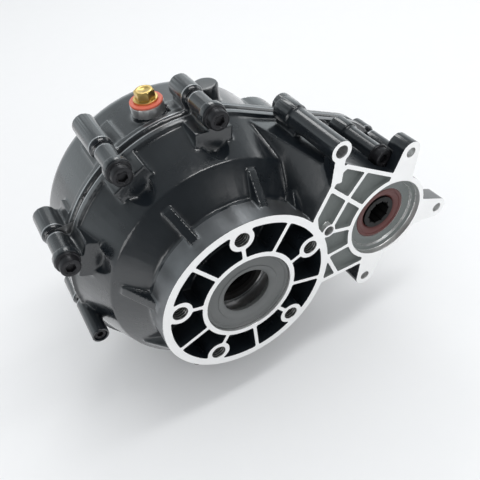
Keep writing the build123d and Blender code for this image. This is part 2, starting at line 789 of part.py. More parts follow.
def build_inter_shaft():
    """Intermediate shaft with the final pinion cut on it."""
    journal_r = inter_bearing[0]
    front_end = inter_front_seat_y + inter_bearing[2]
    rear_end = inter_rear_seat_y + inter_bearing[2]
    gear_end = inter_gear_y + inter_gear_width
    points = [(0, inter_front_seat_y), (journal_r, inter_front_seat_y), (journal_r, front_end),
              (inter_gear_bore_r - shoulder, front_end),
              (inter_gear_bore_r - shoulder, inter_gear_y - 1),
              (inter_gear_bore_r, inter_gear_y - 1), (inter_gear_bore_r, gear_end),
              (inter_gear_bore_r + shoulder, gear_end), (inter_gear_bore_r + shoulder, ring_gear_y),
              (inter_gear_bore_r, ring_gear_y), (inter_gear_bore_r, inter_rear_seat_y),
              (journal_r, inter_rear_seat_y), (journal_r, rear_end), (0, rear_end)]
    body = turned(points, inter_shaft_at)
    body += spur(inter_shaft_at, final_pinion_teeth, final_module, tooth_shift,
                 inter_angle + 180, ring_gear_y - 0.5, ring_gear_width + 1)
    return body - slab(key_sketch(), inter_gear_y, gear_end)


def key_sketch():
    middle = (inter_shaft_at[0], inter_shaft_at[1] + inter_gear_bore_r)
    return Pos(*middle) * Rectangle(key_width, key_height)


def build_key():
    return slab(key_sketch(), inter_gear_y, inter_gear_y + inter_gear_width)


def mesh_angle():
    """Direction from the intermediate shaft to the input shaft."""
    return degrees(atan2(input_z - inter_shaft_at[1], input_x - inter_shaft_at[0]))


def build_inter_gear():
    body = spur(inter_shaft_at, inter_gear_teeth, first_module, -tooth_shift,
                gap_towards(inter_gear_teeth, mesh_angle()), inter_gear_y, inter_gear_width)
    body -= rod(inter_shaft_at, inter_gear_bore_r, inter_gear_y, inter_gear_y + inter_gear_width)
    return body - slab(key_sketch(), inter_gear_y, inter_gear_y + inter_gear_width)


def build_input_shaft():
    """Hollow input shaft with its pinion and an internal spline for the motor."""
    front_r = input_front_bearing[0]
    rear_r = input_rear_bearing[0]
    bearing_end = input_front_seat_y + input_front_bearing[2]
    front_end = register_depth + 1
    rear_end = input_rear_seat_y + input_rear_bearing[2]
    neck_y = inter_gear_y + inter_gear_width + 2 * shoulder
    points = [(0, front_end), (front_r, front_end), (front_r, bearing_end),
              (front_r + shoulder, bearing_end), (front_r + shoulder, bearing_end + 3),
              (front_r - 1, bearing_end + 3), (front_r - 1, inter_gear_y - shoulder),
              (front_r - shoulder, inter_gear_y - shoulder), (front_r - shoulder, neck_y),
              (rear_r + shoulder, neck_y),
              (rear_r + shoulder, input_rear_seat_y), (rear_r, input_rear_seat_y),
              (rear_r, rear_end), (0, rear_end)]
    body = turned(points, input_shaft_at)
    body += spur(input_shaft_at, input_pinion_teeth, first_module, tooth_shift,
                 mesh_angle() + 180, inter_gear_y - 1, inter_gear_width + 2)
    body -= rod(input_shaft_at, motor_spline_r, front_end, front_end + motor_spline_length)
    for number in range(spline_teeth):
        groove = radial_block(number * 360 / spline_teeth, motor_spline_r - 1,
                              motor_spline_r + spline_depth, motor_spline_width)
        body -= slab(Pos(*input_shaft_at) * groove, front_end, front_end + motor_spline_length)
    return body


# Differential
def bevel_gear(teeth, cone, first_tooth_angle, back_length, bore_r):
    """Straight bevel gear on +Z with its pitch apex at the origin.

    Each tooth is an involute outline in the plane square to the pitch cone at its large end,
    drawn towards the apex.
    """
    pitch_r = teeth * bevel_module / 2
    slant = pitch_r / sin(cone)
    virtual_r = pitch_r / cos(cone)
    base_r = virtual_r * cos(radians(pressure_angle))
    thickness = bevel_module * pi / 2 - bevel_backlash
    shrink = 1 - bevel_face_share
    root_r = pitch_r - bevel_dedendum * cos(cone)
    root_z = slant * cos(cone) + bevel_dedendum * sin(cone)
    hub_r = root_r - back_length * 0.35
    blank = [(0, root_z * shrink), (root_r * shrink, root_z * shrink), (root_r, root_z),
             (hub_r, root_z + back_length), (0, root_z + back_length)]
    body = revolve(Plane.XZ * Polygon(*blank, align=None), Axis.Z)
    levels = [virtual_r - bevel_dedendum - tooth_root_bite, max(base_r, virtual_r - bevel_module / 2),
              virtual_r, virtual_r + bevel_addendum]
    right = [(level * tooth_half_angle(level, virtual_r, thickness), level - virtual_r)
             for level in levels]
    outline = right + [(-across, height) for across, height in right[::-1]]
    for number in range(teeth):
        sections = []
        for scale in (1.0, shrink):
            plane = Plane(origin=(pitch_r * scale, 0, slant * cos(cone) * scale),
                          x_dir=(0, -1, 0), z_dir=(sin(cone), 0, cos(cone)))
            face = Polygon(*[(across * scale, height * scale) for across, height in outline],
                           align=None)
            sections.append((plane * face).faces()[0])
        turn = first_tooth_angle + number * 360 / teeth
        body += Rot(0, 0, turn) * loft(sections, ruled=True)
    return body - Cylinder(bore_r, 8 * slant)


def at_diff(part, turn_x):
    """Place a part made on +Z with its apex at the origin on an arm of the differential."""
    return Pos(0, diff_centre_y, 0) * Rot(turn_x, 0, 0) * part


def build_side_gear(turn_x):
    """Side gear with a hub that runs in the case and takes the axle's spline."""
    gear = bevel_gear(side_gear_teeth, side_cone, 180 / side_gear_teeth, side_back_length,
                      side_gear_bore_r)
    hub_end = diff_centre_y - side_hub_end_y
    hub = Pos(0, 0, side_back) * Cylinder(side_hub_r, hub_end - side_back,
                                          align=(Align.CENTER, Align.CENTER, Align.MIN))
    gear += hub - Cylinder(side_gear_bore_r, 4 * hub_end)
    for number in range(spline_teeth):
        groove = radial_block(number * 360 / spline_teeth, side_gear_bore_r - 1,
                              side_gear_bore_r + spline_depth, spline_width)
        gear -= extrude(groove, amount=hub_end)
    return at_diff(gear, turn_x)


def build_planet(turn_x):
    gear = bevel_gear(planet_teeth, planet_cone, 180 / planet_teeth, planet_back_length,
                      cross_pin_r + hub_clearance)
    return at_diff(gear, turn_x)


def cross_pin_axis(radius, half_length):
    """Round bar along the cross pin, centred on the differential."""
    return Pos(0, diff_centre_y, 0) * Cylinder(radius, 2 * half_length)


def build_diff_case():
    """Differential case: front hub, gear chamber, ring gear flange and pilot."""
    hub_r = axle_bearing[0]
    points = [(0, axle_seat_y - 1), (hub_r, axle_seat_y - 1), (hub_r, axle_seat_y + axle_bearing[2]),
              (hub_shoulder_r, axle_seat_y + axle_bearing[2]), (hub_shoulder_r, diff_front_y),
              (diff_body_r, diff_front_y), (diff_body_r, flange_front_y),
              (diff_flange_r, flange_front_y), (diff_flange_r, ring_gear_y),
              (ring_gear_bore_r, ring_gear_y), (ring_gear_bore_r, cover_y), (0, cover_y)]
    body = turned(points)
    body -= rod(axle, diff_bore_r, diff_centre_y - side_seat, cover_y)
    body -= cross_pin_axis(planet_back_r + 2, planet_seat)
    body -= rod(axle, diff_hub_bore_r, axle_seat_y - 1, diff_centre_y)
    body -= cross_pin_axis(cross_pin_r, diff_body_r + 1)
    body -= Pos(0, diff_centre_y, 0) * Rot(0, 90, 0) * Cylinder(oil_window_r, 3 * diff_body_r)
    body -= roll_pin_bar()
    for number in range(ring_bolt_count):
        body -= rod(polar(ring_bolt_circle_r, number * 360 / ring_bolt_count), ring_bolt_r,
                    flange_front_y, ring_gear_y)
    for centre in cover_screw_places():
        body -= rod(centre, cover_screw_r, cover_y - cover_screw_length, cover_y)
    return body


def roll_pin_bar():
    """Lock pin that crosses the end of the cross pin, along the axle."""
    height = planet_seat + diff_wall / 2
    return rod((0, height), roll_pin_r, diff_centre_y - roll_pin_length / 2,
               diff_centre_y + roll_pin_length / 2)


def cover_screw_places():
    return [polar(cover_screw_circle_r, 45 + 90 * number) for number in range(4)]


def build_diff_cover():
    hub_r = axle_bearing[0]
    points = [(0, cover_y), (ring_gear_bore_r, cover_y), (ring_gear_bore_r, cover_end_y),
              (hub_shoulder_r, cover_end_y), (hub_shoulder_r, rear_bearing_y),
              (hub_r, rear_bearing_y), (hub_r, case_length - axle_seat_y + 1),
              (0, case_length - axle_seat_y + 1)]
    body = turned(points) - rod(axle, diff_hub_bore_r, cover_y, case_length)
    for centre in cover_screw_places():
        body -= rod(centre, cover_screw_r, cover_y, cover_end_y)
    return body


def screw(centre, head_y, seat_y, end_y, shank_r, head_r):
    """Screw along the axle with its head between head_y and seat_y."""
    return rod(centre, head_r, head_y, seat_y) + rod(centre, shank_r, seat_y, end_y)


def build_ring_gear_bolts():
    screws = [screw(polar(ring_bolt_circle_r, number * 360 / ring_bolt_count),
                    flange_front_y - ring_bolt_head, flange_front_y,
                    ring_gear_y + ring_gear_width * 0.6, ring_bolt_r, ring_bolt_r + 1.2)
              for number in range(ring_bolt_count)]
    return group(screws)


def build_cover_screws():
    screws = [screw(centre, cover_end_y + cover_screw_head, cover_end_y,
                    cover_y - cover_screw_length, cover_screw_r, cover_screw_r + 1.8)
              for centre in cover_screw_places()]
    return group(screws)


def build_cross_pin():
    return cross_pin_axis(cross_pin_r, diff_body_r - 0.5) - roll_pin_bar()


def build_side_washers():
    thickness = washer_thickness
    outer_r = diff_bore_r - 6
    inner_r = side_hub_r + running_gap
    front_y = diff_centre_y - side_seat
    return group([ring(axle, outer_r, inner_r, front_y, front_y + thickness),
                  ring(axle, outer_r, inner_r, cover_y - thickness, cover_y)])


def build_planet_washers():
    washer = Cylinder(planet_back_r + 1, washer_thickness) - Cylinder(cross_pin_r, 2 * diff_wall)
    height = planet_seat - washer_thickness / 2
    return group([Pos(0, diff_centre_y, side * height) * washer for side in (1, -1)])


# Filler and drain
def build_filler_plug():
    """Brass plug with a collar and a hexagon head."""
    upwards = (Align.CENTER, Align.CENTER, Align.MIN)
    body = Cylinder(plug_collar_r, plug_collar_height, align=upwards)
    body += extrude(RegularPolygon(plug_hex_r, 6), amount=plug_collar_height + plug_hex_height)
    body += Cylinder(plug_thread_r, plug_thread_length, align=(Align.CENTER, Align.CENTER, Align.MAX))
    return Pos(plug_x, plug_y, plug_boss_top + plug_washer_thickness) * body


def build_drain_plug():
    """Steel plug with a round head and a hexagon socket, pointing down."""
    downwards = (Align.CENTER, Align.CENTER, Align.MAX)
    body = Cylinder(drain_head_r, drain_head_height, align=downwards)
    body += Cylinder(drain_thread_r, plug_thread_length, align=(Align.CENTER, Align.CENTER, Align.MIN))
    socket = extrude(RegularPolygon(drain_socket_r, 6), amount=drain_head_height)
    body -= Pos(0, 0, -drain_head_height - 1) * socket
    return Pos(drain_x, drain_y, -drain_boss_bottom - plug_washer_thickness) * body


def build_washer(outer_r, inner_r, x, y, z):
    return Pos(x, y, z) * extrude(Circle(outer_r) - Circle(inner_r), amount=plug_washer_thickness)


def group(parts):
    """Several separate solids in one node."""
    return Compound(children=[part.solids()[0] for part in parts])


def bearing_rings(kind, seats):
    """The same ring of each bearing in a list of (bearing, centre, station)."""
    return group([kind(*seat) for seat in seats])


AXLE_SEATS = [(axle_bearing, axle, axle_seat_y), (axle_bearing, axle, rear_bearing_y)]
INTER_SEATS = [(inter_bearing, inter_shaft_at, inter_front_seat_y),
               (inter_bearing, inter_shaft_at, inter_rear_seat_y)]
INPUT_SEATS = [(input_front_bearing, input_shaft_at, input_front_seat_y),
               (input_rear_bearing, input_shaft_at, input_rear_seat_y)]

NODES = {
    "front_housing": build_front_housing,
    "rear_housing": build_rear_housing,
    "case_gasket": build_gasket,
    "case_bolts": build_case_bolts,
    "dowel_pins": build_dowels,
    "filler_plug": build_filler_plug,
    "filler_plug_washer": lambda: build_washer(plug_washer_r, plug_thread_r, plug_x, plug_y,
                                               plug_boss_top),
    "drain_plug": build_drain_plug,
    "drain_plug_washer": lambda: build_washer(drain_head_r + 0.5, drain_thread_r, drain_x, drain_y,
                                              -drain_boss_bottom - plug_washer_thickness),
    "front_axle_seal": lambda: build_seal(axle, axle_seal_r, axle_seal_bore_r, axle_seal_recess,
                                          axle_seal_width),
    "rear_axle_seal": lambda: mirrored(build_seal(axle, axle_seal_r, axle_seal_bore_r,
                                                  axle_seal_recess, axle_seal_width)),
    "input_seal": lambda: build_seal(input_shaft_at, input_seal_r,
                                     input_front_bearing[0] + seal_lip_clearance,
                                     register_depth, input_seal_width),
    "differential_bearing_outer_rings": lambda: bearing_rings(outer_ring, AXLE_SEATS),
    "differential_bearing_inner_rings": lambda: bearing_rings(inner_ring, AXLE_SEATS),
    "intermediate_bearing_outer_rings": lambda: bearing_rings(outer_ring, INTER_SEATS),
    "intermediate_bearing_inner_rings": lambda: bearing_rings(inner_ring, INTER_SEATS),
    "input_bearing_outer_rings": lambda: bearing_rings(outer_ring, INPUT_SEATS),
    "input_bearing_inner_rings": lambda: bearing_rings(inner_ring, INPUT_SEATS),
    "input_shaft": build_input_shaft,
    "intermediate_shaft": build_inter_shaft,
    "intermediate_gear": build_inter_gear,
    "gear_key": build_key,
    "ring_gear": build_ring_gear,
    "ring_gear_bolts": build_ring_gear_bolts,
    "differential_case": build_diff_case,
    "differential_cover": build_diff_cover,
    "differential_cover_screws": build_cover_screws,
    "cross_pin": build_cross_pin,
    "cross_pin_lock": roll_pin_bar,
    "front_side_gear": lambda: build_side_gear(90),
    "rear_side_gear": lambda: build_side_gear(-90),
    "side_gear_washers": build_side_washers,
    "upper_planet_gear": lambda: build_planet(0),
    "lower_planet_gear": lambda: build_planet(180),
    "planet_gear_washers": build_planet_washers,
}


def main():
    os.makedirs("parts", exist_ok=True)
    for name, build in NODES.items():
        export_step(build(), f"parts/{name}.step")


main()
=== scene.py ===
import math
import bmesh
import bpy
import mathutils
import numpy as np
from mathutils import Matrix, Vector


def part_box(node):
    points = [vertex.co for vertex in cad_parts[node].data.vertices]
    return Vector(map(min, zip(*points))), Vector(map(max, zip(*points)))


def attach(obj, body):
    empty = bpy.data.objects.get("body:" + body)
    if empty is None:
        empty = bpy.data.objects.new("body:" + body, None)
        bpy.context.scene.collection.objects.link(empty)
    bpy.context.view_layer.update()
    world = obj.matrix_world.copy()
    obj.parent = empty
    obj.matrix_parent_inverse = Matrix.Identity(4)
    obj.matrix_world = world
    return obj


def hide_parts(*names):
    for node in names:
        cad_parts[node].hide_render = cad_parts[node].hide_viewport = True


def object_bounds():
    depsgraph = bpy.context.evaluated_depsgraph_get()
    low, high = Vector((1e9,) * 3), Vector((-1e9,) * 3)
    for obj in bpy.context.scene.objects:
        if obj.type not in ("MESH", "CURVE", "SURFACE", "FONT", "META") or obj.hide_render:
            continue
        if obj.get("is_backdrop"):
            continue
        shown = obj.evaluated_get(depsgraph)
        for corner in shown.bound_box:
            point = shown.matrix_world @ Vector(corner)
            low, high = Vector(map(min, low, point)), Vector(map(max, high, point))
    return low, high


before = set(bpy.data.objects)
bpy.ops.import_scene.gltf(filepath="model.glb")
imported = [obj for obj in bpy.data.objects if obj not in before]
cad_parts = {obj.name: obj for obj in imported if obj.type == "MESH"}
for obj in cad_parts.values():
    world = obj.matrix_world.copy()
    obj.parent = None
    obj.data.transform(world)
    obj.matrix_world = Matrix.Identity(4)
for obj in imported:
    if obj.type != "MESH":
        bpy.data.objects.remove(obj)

# %% [markdown]
# A rear axle gearbox: two cast and painted case halves, bare where a cutter has passed, screwed
# together round two pairs of gears and a differential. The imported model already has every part
# at its real size. This lesson gives each part its surface: soft cast edges under gloss paint,
# flat bright faces, turned screws, moulded seals. The frame is in metres, so a length is
# written here as so many times mm.

# %% Sizes that several cells share
mm = 0.001
cad_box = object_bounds()
case_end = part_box("rear_housing")[1].y
front_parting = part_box("front_housing")[1].y
rear_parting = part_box("rear_housing")[0].y
floor_height = cad_box[0].z
axle_axis = np.array((0.0, 0.0))
motor_axis = np.array((111.6, 5.5)) * mm
lowest, highest = ([round(v / mm, 1) for v in corner] for corner in cad_box)
print("object from", lowest, "to", highest)

# %% [markdown]
# The camera stands above and in front of the big flange, close enough for a strong perspective.
# Three unit vectors give its turn: to its right, up, and backwards out of the lens. They are
# the columns of its matrix, and its place is the last column.

# %% Camera
camera_data = bpy.data.cameras.new("camera")
camera_data.sensor_width = 36
camera_data.lens = 42.40
camera_data.shift_x = 0.0083
camera_data.shift_y = -0.0021
camera_data.clip_start, camera_data.clip_end = 0.01, 20
camera = bpy.data.objects.new("camera", camera_data)
bpy.context.scene.collection.objects.link(camera)
bpy.context.scene.camera = camera
camera_matrix = np.eye(4)
camera_matrix[:3, 0] = (0.86155, -0.49537, -0.11111)
camera_matrix[:3, 1] = (0.41770, 0.56728, 0.70973)
camera_matrix[:3, 2] = (-0.28855, -0.65788, 0.69565)
camera_matrix[:3, 3] = np.array((-98.28, -215.51, 281.06)) * mm
camera.matrix_world = mathutils.Matrix(camera_matrix.tolist())
bpy.context.scene.view_settings.view_transform = "Standard"
print("camera at", [round(v / mm) for v in camera.matrix_world.translation], "mm")

# %% [markdown]
# Black gloss paint shows little but what it mirrors, so the studio is part of the look: a pale
# room that is darker overhead and towards the camera, and five soft lamps. The long narrow one
# above draws the bright line on the case's ridge, and the others stand behind the case, in
# front of it and at its sides. The world is a little weaker for rays that light the case than
# for rays that see it.

# %% Lamps
lamp_aim = mathutils.Vector((30, 70, 0)) * mm


def soft_lamp(name, direction, distance, length, width, watts):
    """A rectangular lamp in a direction from the case, its long side along +X, facing the case."""
    data = bpy.data.lights.new(name, "AREA")
    data.shape, data.size, data.size_y, data.energy = "RECTANGLE", length, width, watts
    lamp = bpy.data.objects.new(name, data)
    bpy.context.scene.collection.objects.link(lamp)
    away = mathutils.Vector(direction).normalized()
    along = away.cross((-1, 0, 0)).cross(away).normalized() * -1
    turn = mathutils.Matrix((along, away.cross(along), away)).transposed()
    lamp.matrix_world = mathutils.Matrix.LocRotScale(lamp_aim + away * distance, turn, None)


soft_lamp("ridge_lamp", (0.27, -0.22, 0.93), 1.1, 0.70, 0.14, 3.0)
soft_lamp("rear_lamp", (0.29, 0.66, 0.70), 1.3, 0.45, 0.35, 2.0)
soft_lamp("left_lamp", (-0.80, -0.35, 0.26), 1.1, 0.45, 0.40, 1.3)
soft_lamp("front_lamp", (0.36, -0.86, 0.37), 1.3, 0.45, 0.45, 1.2)
soft_lamp("right_lamp", (0.93, 0.05, 0.36), 1.4, 0.60, 0.50, 1.4)

# %% The room
world = bpy.data.worlds.new("pale_room")
bpy.context.scene.world = world
world.use_nodes = True
nodes, links = world.node_tree.nodes, world.node_tree.links
nodes.clear()
path = nodes.new("ShaderNodeLightPath")


def background(colour, strength):
    """A background of one colour. Gives its shader socket and its strength socket."""
    node = nodes.new("ShaderNodeBackground")
    node.inputs["Color"].default_value = (*colour, 1)
    node.inputs["Strength"].default_value = strength
    return node.outputs[0], node.inputs["Strength"]


def where_ray(label, otherwise, then):
    """One background for rays of a kind, and another for the rest."""
    choose = nodes.new("ShaderNodeMixShader")
    links.new(path.outputs[label], choose.inputs[0])
    links.new(otherwise, choose.inputs[1])
    links.new(then, choose.inputs[2])
    return choose.outputs[0]


def fade(part, start, end, first, last):
    """A strength that runs from first to last as one part of a ray's direction goes from start to end."""
    node = nodes.new("ShaderNodeMapRange")
    node.interpolation_type = "SMOOTHSTEP"
    for label, value in (("From Min", start), ("From Max", end), ("To Min", first), ("To Max", last)):
        node.inputs[label].default_value = value
    links.new(part, node.inputs["Value"])
    return node.outputs["Result"]


lights_it = background((0.97, 0.985, 1.0), 0.92)[0]
seen_as = background((0.90, 0.915, 0.92), 1.0)[0]
mirrored, mirrored_strength = background((0.85, 0.92, 0.95), 1.0)
heading = nodes.new("ShaderNodeTexCoord")
split = nodes.new("ShaderNodeSeparateXYZ")
links.new(heading.outputs["Generated"], split.inputs[0])
product = nodes.new("ShaderNodeMath")
product.operation = "MULTIPLY"
links.new(fade(split.outputs["Y"], -0.55, 0.55, 0.14, 1.0), product.inputs[0])
links.new(fade(split.outputs["Z"], 0.15, 0.80, 1.0, 0.40), product.inputs[1])
links.new(product.outputs[0], mirrored_strength)
world_out = nodes.new("ShaderNodeOutputWorld")
not_mirrored = where_ray("Is Camera Ray", lights_it, seen_as)
links.new(where_ray("Is Glossy Ray", not_mirrored, mirrored), world_out.inputs[0])
print("world", world.name)

# %% The floor
floor_size = 6.0
half = floor_size / 2
floor_square = ((-half, -half), (half, -half), (half, half), (-half, half))
floor_corners = [(x, y, floor_height) for x, y in floor_square]
floor_mesh = bpy.data.meshes.new("floor")
floor_mesh.from_pydata(floor_corners, [], [(0, 1, 2, 3)])
floor = bpy.data.objects.new("floor", floor_mesh)
bpy.context.scene.collection.objects.link(floor)
floor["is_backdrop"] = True
print("floor at", round(floor_height / mm, 1), "mm")

# %% [markdown]
# Node groups hold what several finishes share. The first is the skin of a casting: a fine
# grain, a soft orange peel and a slow mottle, from three sizes of noise. It puts out a height
# for a Bump node and the mottle as a mask. All of them read Object coordinates, because the
# frame's objects all have their origin at the same point.

# %% A helper that starts a node group
METRE_TO_MM = 1000.0


def start_group(name, inputs, outputs):
    """A shader node group with named number inputs and outputs, and its two end nodes."""
    group = bpy.data.node_groups.new(name, "ShaderNodeTree")
    for label, value in inputs:
        socket = group.interface.new_socket(label, in_out="INPUT", socket_type="NodeSocketFloat")
        socket.default_value = value
    for label in outputs:
        group.interface.new_socket(label, in_out="OUTPUT", socket_type="NodeSocketFloat")
    return group, group.nodes.new("NodeGroupInput"), group.nodes.new("NodeGroupOutput")


def arithmetic(tree, operation, first, second=None, third=None):
    """A Math node on sockets or plain numbers. Gives its output socket."""
    node = tree.nodes.new("ShaderNodeMath")
    node.operation = operation
    for slot, value in zip(node.inputs, (first, second, third)):
        if isinstance(value, bpy.types.NodeSocket):
            tree.links.new(value, slot)
        elif value is not None:
            slot.default_value = value
    return node.outputs[0]


def object_millimetres(tree):
    """Object coordinates turned into millimetres."""
    where = tree.nodes.new("ShaderNodeTexCoord")
    scale = tree.nodes.new("ShaderNodeVectorMath")
    scale.operation = "SCALE"
    scale.inputs["Scale"].default_value = METRE_TO_MM
    tree.links.new(where.outputs["Object"], scale.inputs[0])
    return scale.outputs[0]


def noise(tree, vector, scale, detail=2.0, roughness=0.5):
    """Noise whose scale is in waves per millimetre. Gives its Fac socket."""
    node = tree.nodes.new("ShaderNodeTexNoise")
    node.inputs["Detail"].default_value = detail
    node.inputs["Roughness"].default_value = roughness
    tree.links.new(vector, node.inputs["Vector"])
    if isinstance(scale, bpy.types.NodeSocket):
        tree.links.new(scale, node.inputs["Scale"])
    else:
        node.inputs["Scale"].default_value = scale
    return node.outputs["Fac"]


# %% Group: the skin of a casting
cast_skin, given, gives = start_group("cast skin", [("Grain", 0.5), ("Peel", 0.5)], ["Height", "Mottle"])
spot = object_millimetres(cast_skin)
grain = arithmetic(cast_skin, "MULTIPLY", noise(cast_skin, spot, 2.6), given.outputs["Grain"])
peel = arithmetic(cast_skin, "MULTIPLY", noise(cast_skin, spot, 0.45, 1.0), given.outputs["Peel"])
cast_skin.links.new(arithmetic(cast_skin, "ADD", grain, peel), gives.inputs["Height"])
cast_skin.links.new(noise(cast_skin, spot, 0.06, 4.0), gives.inputs["Mottle"])
print("group", cast_skin.name)

# %% [markdown]
# A face mill or a lathe leaves rings about its axis. The second group measures the distance
# from the axle's line, makes a wave of it, and breaks the wave up with noise so that it doesn't
# look drawn. Worn edges come from a third group, which reads how sharply the surface bends.

# %% Group: the rings that a cutter leaves
cutter_rings, given, gives = start_group("cutter rings", [("Pitch mm", 0.5)], ["Height", "Streak"])
spot = object_millimetres(cutter_rings)
split = cutter_rings.nodes.new("ShaderNodeSeparateXYZ")
cutter_rings.links.new(spot, split.inputs[0])
across, upright = split.outputs["X"], split.outputs["Z"]
upright_square = arithmetic(cutter_rings, "MULTIPLY", upright, upright)
squares = arithmetic(cutter_rings, "MULTIPLY_ADD", across, across, upright_square)
radius = arithmetic(cutter_rings, "SQRT", squares)
turns = arithmetic(cutter_rings, "DIVIDE", radius, given.outputs["Pitch mm"])
wave = arithmetic(cutter_rings, "SINE", arithmetic(cutter_rings, "MULTIPLY", turns, 2 * math.pi))
broken = arithmetic(cutter_rings, "MULTIPLY", wave, noise(cutter_rings, spot, 0.3, 3.0))
cutter_rings.links.new(broken, gives.inputs["Height"])
ring_space = cutter_rings.nodes.new("ShaderNodeCombineXYZ")
cutter_rings.links.new(radius, ring_space.inputs["X"])
cutter_rings.links.new(noise(cutter_rings, ring_space.outputs[0], 1.4, 3.0), gives.inputs["Streak"])
print("group", cutter_rings.name)

# %% Group: rubbed edges
rubbed_edges, given, gives = start_group("rubbed edges", [("Sharpness", 0.55), ("Spread", 0.08)], ["Mask"])
shape = rubbed_edges.nodes.new("ShaderNodeNewGeometry")
spot = object_millimetres(rubbed_edges)
patches = noise(rubbed_edges, spot, 0.8, 3.0)
uneven = arithmetic(rubbed_edges, "MULTIPLY_ADD", patches, 0.06, shape.outputs["Pointiness"])
over = arithmetic(rubbed_edges, "SUBTRACT", uneven, given.outputs["Sharpness"])
mask = arithmetic(rubbed_edges, "DIVIDE", over, given.outputs["Spread"])
clamped = rubbed_edges.nodes.new("ShaderNodeClamp")
rubbed_edges.links.new(mask, clamped.inputs["Value"])
rubbed_edges.links.new(clamped.outputs[0], gives.inputs["Mask"])
print("group", rubbed_edges.name)

# %% [markdown]
# Each finish is a Principled BSDF whose colour, roughness and normal come from those groups.
# A number that is the same all over is set on the shader itself, where an export can read it.

# %% Helpers for a finish
def start_finish(name, **constants):
    """A material with one Principled BSDF, and the shader's plain numbers set on its sockets."""
    material = bpy.data.materials.new(name)
    material.use_nodes = True
    tree = material.node_tree
    shader = tree.nodes["Principled BSDF"]
    for label, value in constants.items():
        shader.inputs[label.replace("_", " ")].default_value = value
    return material, tree, shader


def use_group(tree, group, **values):
    """Place a node group in a material and set its inputs, named with underscores for spaces."""
    node = tree.nodes.new("ShaderNodeGroup")
    node.node_tree = group
    for label, value in values.items():
        node.inputs[label.replace("_", " ")].default_value = value
    return node


def two_colours(tree, mask, low, high):
    """A colour that runs from low to high with a mask, as a socket."""
    mix = tree.nodes.new("ShaderNodeMix")
    mix.data_type = "RGBA"
    mix.inputs[6].default_value, mix.inputs[7].default_value = (*low, 1), (*high, 1)
    tree.links.new(mask, mix.inputs[0])
    return mix.outputs[2]


def spread(tree, mask, low, high):
    """A number that runs from low to high with a mask, as a socket."""
    node = tree.nodes.new("ShaderNodeMapRange")
    node.inputs["To Min"].default_value, node.inputs["To Max"].default_value = low, high
    tree.links.new(mask, node.inputs["Value"])
    return node.outputs["Result"]


def bump(tree, shader, height, depth_mm, strength=1.0):
    """Feed a height to the shader's Normal through a Bump node, with its depth in millimetres."""
    node = tree.nodes.new("ShaderNodeBump")
    node.inputs["Distance"].default_value = depth_mm * mm
    node.inputs["Strength"].default_value = strength
    tree.links.new(height, node.inputs["Height"])
    tree.links.new(node.outputs["Normal"], shader.inputs["Normal"])


# %% Finish: black gloss paint over the casting
case_paint, tree, shader = start_finish("black_case_paint", Coat_Weight=0.9, Coat_Roughness=0.14)
skin = use_group(tree, cast_skin, Grain=0.25, Peel=1.0)
worn = use_group(tree, rubbed_edges, Sharpness=0.62, Spread=0.12)
painted = two_colours(tree, skin.outputs["Mottle"], (0.0035, 0.0055, 0.0075), (0.009, 0.012, 0.0155))
mix = tree.nodes.new("ShaderNodeMix")
mix.data_type = "RGBA"
mix.inputs[7].default_value = (0.06, 0.066, 0.072, 1)
tree.links.new(painted, mix.inputs[6])
tree.links.new(arithmetic(tree, "MULTIPLY", worn.outputs["Mask"], 0.25), mix.inputs[0])
tree.links.new(mix.outputs[2], shader.inputs["Base Color"])
tree.links.new(spread(tree, skin.outputs["Mottle"], 0.22, 0.36), shader.inputs["Roughness"])
bump(tree, shader, skin.outputs["Height"], 0.06)
print("finish", case_paint.name)

# %% Finish: bare aluminium where a cutter has passed
milled, tree, shader = start_finish("milled_aluminium", Metallic=1.0)
rings = use_group(tree, cutter_rings, Pitch_mm=0.7)
skin = use_group(tree, cast_skin, Grain=0.6, Peel=0.2)
tree.links.new(two_colours(tree, skin.outputs["Mottle"], (0.84, 0.84, 0.835), (0.93, 0.93, 0.925)),
               shader.inputs["Base Color"])
tree.links.new(spread(tree, rings.outputs["Streak"], 0.28, 0.48), shader.inputs["Roughness"])
bump(tree, shader, rings.outputs["Height"], 0.012)
print("finish", milled.name)

# %% Finish: the thread of a tapped hole
tapped, tree, shader = start_finish("tapped_thread", Metallic=1.0, Roughness=0.32)
thread_pitch_mm = 1.75
split = tree.nodes.new("ShaderNodeSeparateXYZ")
tree.links.new(object_millimetres(tree), split.inputs[0])
turns = arithmetic(tree, "MULTIPLY", split.outputs["Y"], 2 * math.pi / thread_pitch_mm)
crests = arithmetic(tree, "MULTIPLY_ADD", arithmetic(tree, "SINE", turns), 0.5, 0.5)
tree.links.new(two_colours(tree, crests, (0.10, 0.10, 0.10), (0.62, 0.62, 0.61)), shader.inputs["Base Color"])
bump(tree, shader, crests, 0.45)
print("finish", tapped.name)

# %% Finish: the thinly covered floors between the web's ribs
thin_paint, tree, shader = start_finish("thinly_painted_casting")
skin = use_group(tree, cast_skin, Grain=1.0, Peel=1.0)
tree.links.new(two_colours(tree, skin.outputs["Mottle"], (0.105, 0.118, 0.115), (0.165, 0.18, 0.175)),
               shader.inputs["Base Color"])
tree.links.new(spread(tree, skin.outputs["Mottle"], 0.45, 0.6), shader.inputs["Roughness"])
bump(tree, shader, skin.outputs["Height"], 0.12)
print("finish", thin_paint.name)

# %% [markdown]
# The remaining finishes are variations: a colour that drifts a little, a roughness that goes
# with it, and a grain or cutter rings for relief. One function makes them from their numbers.

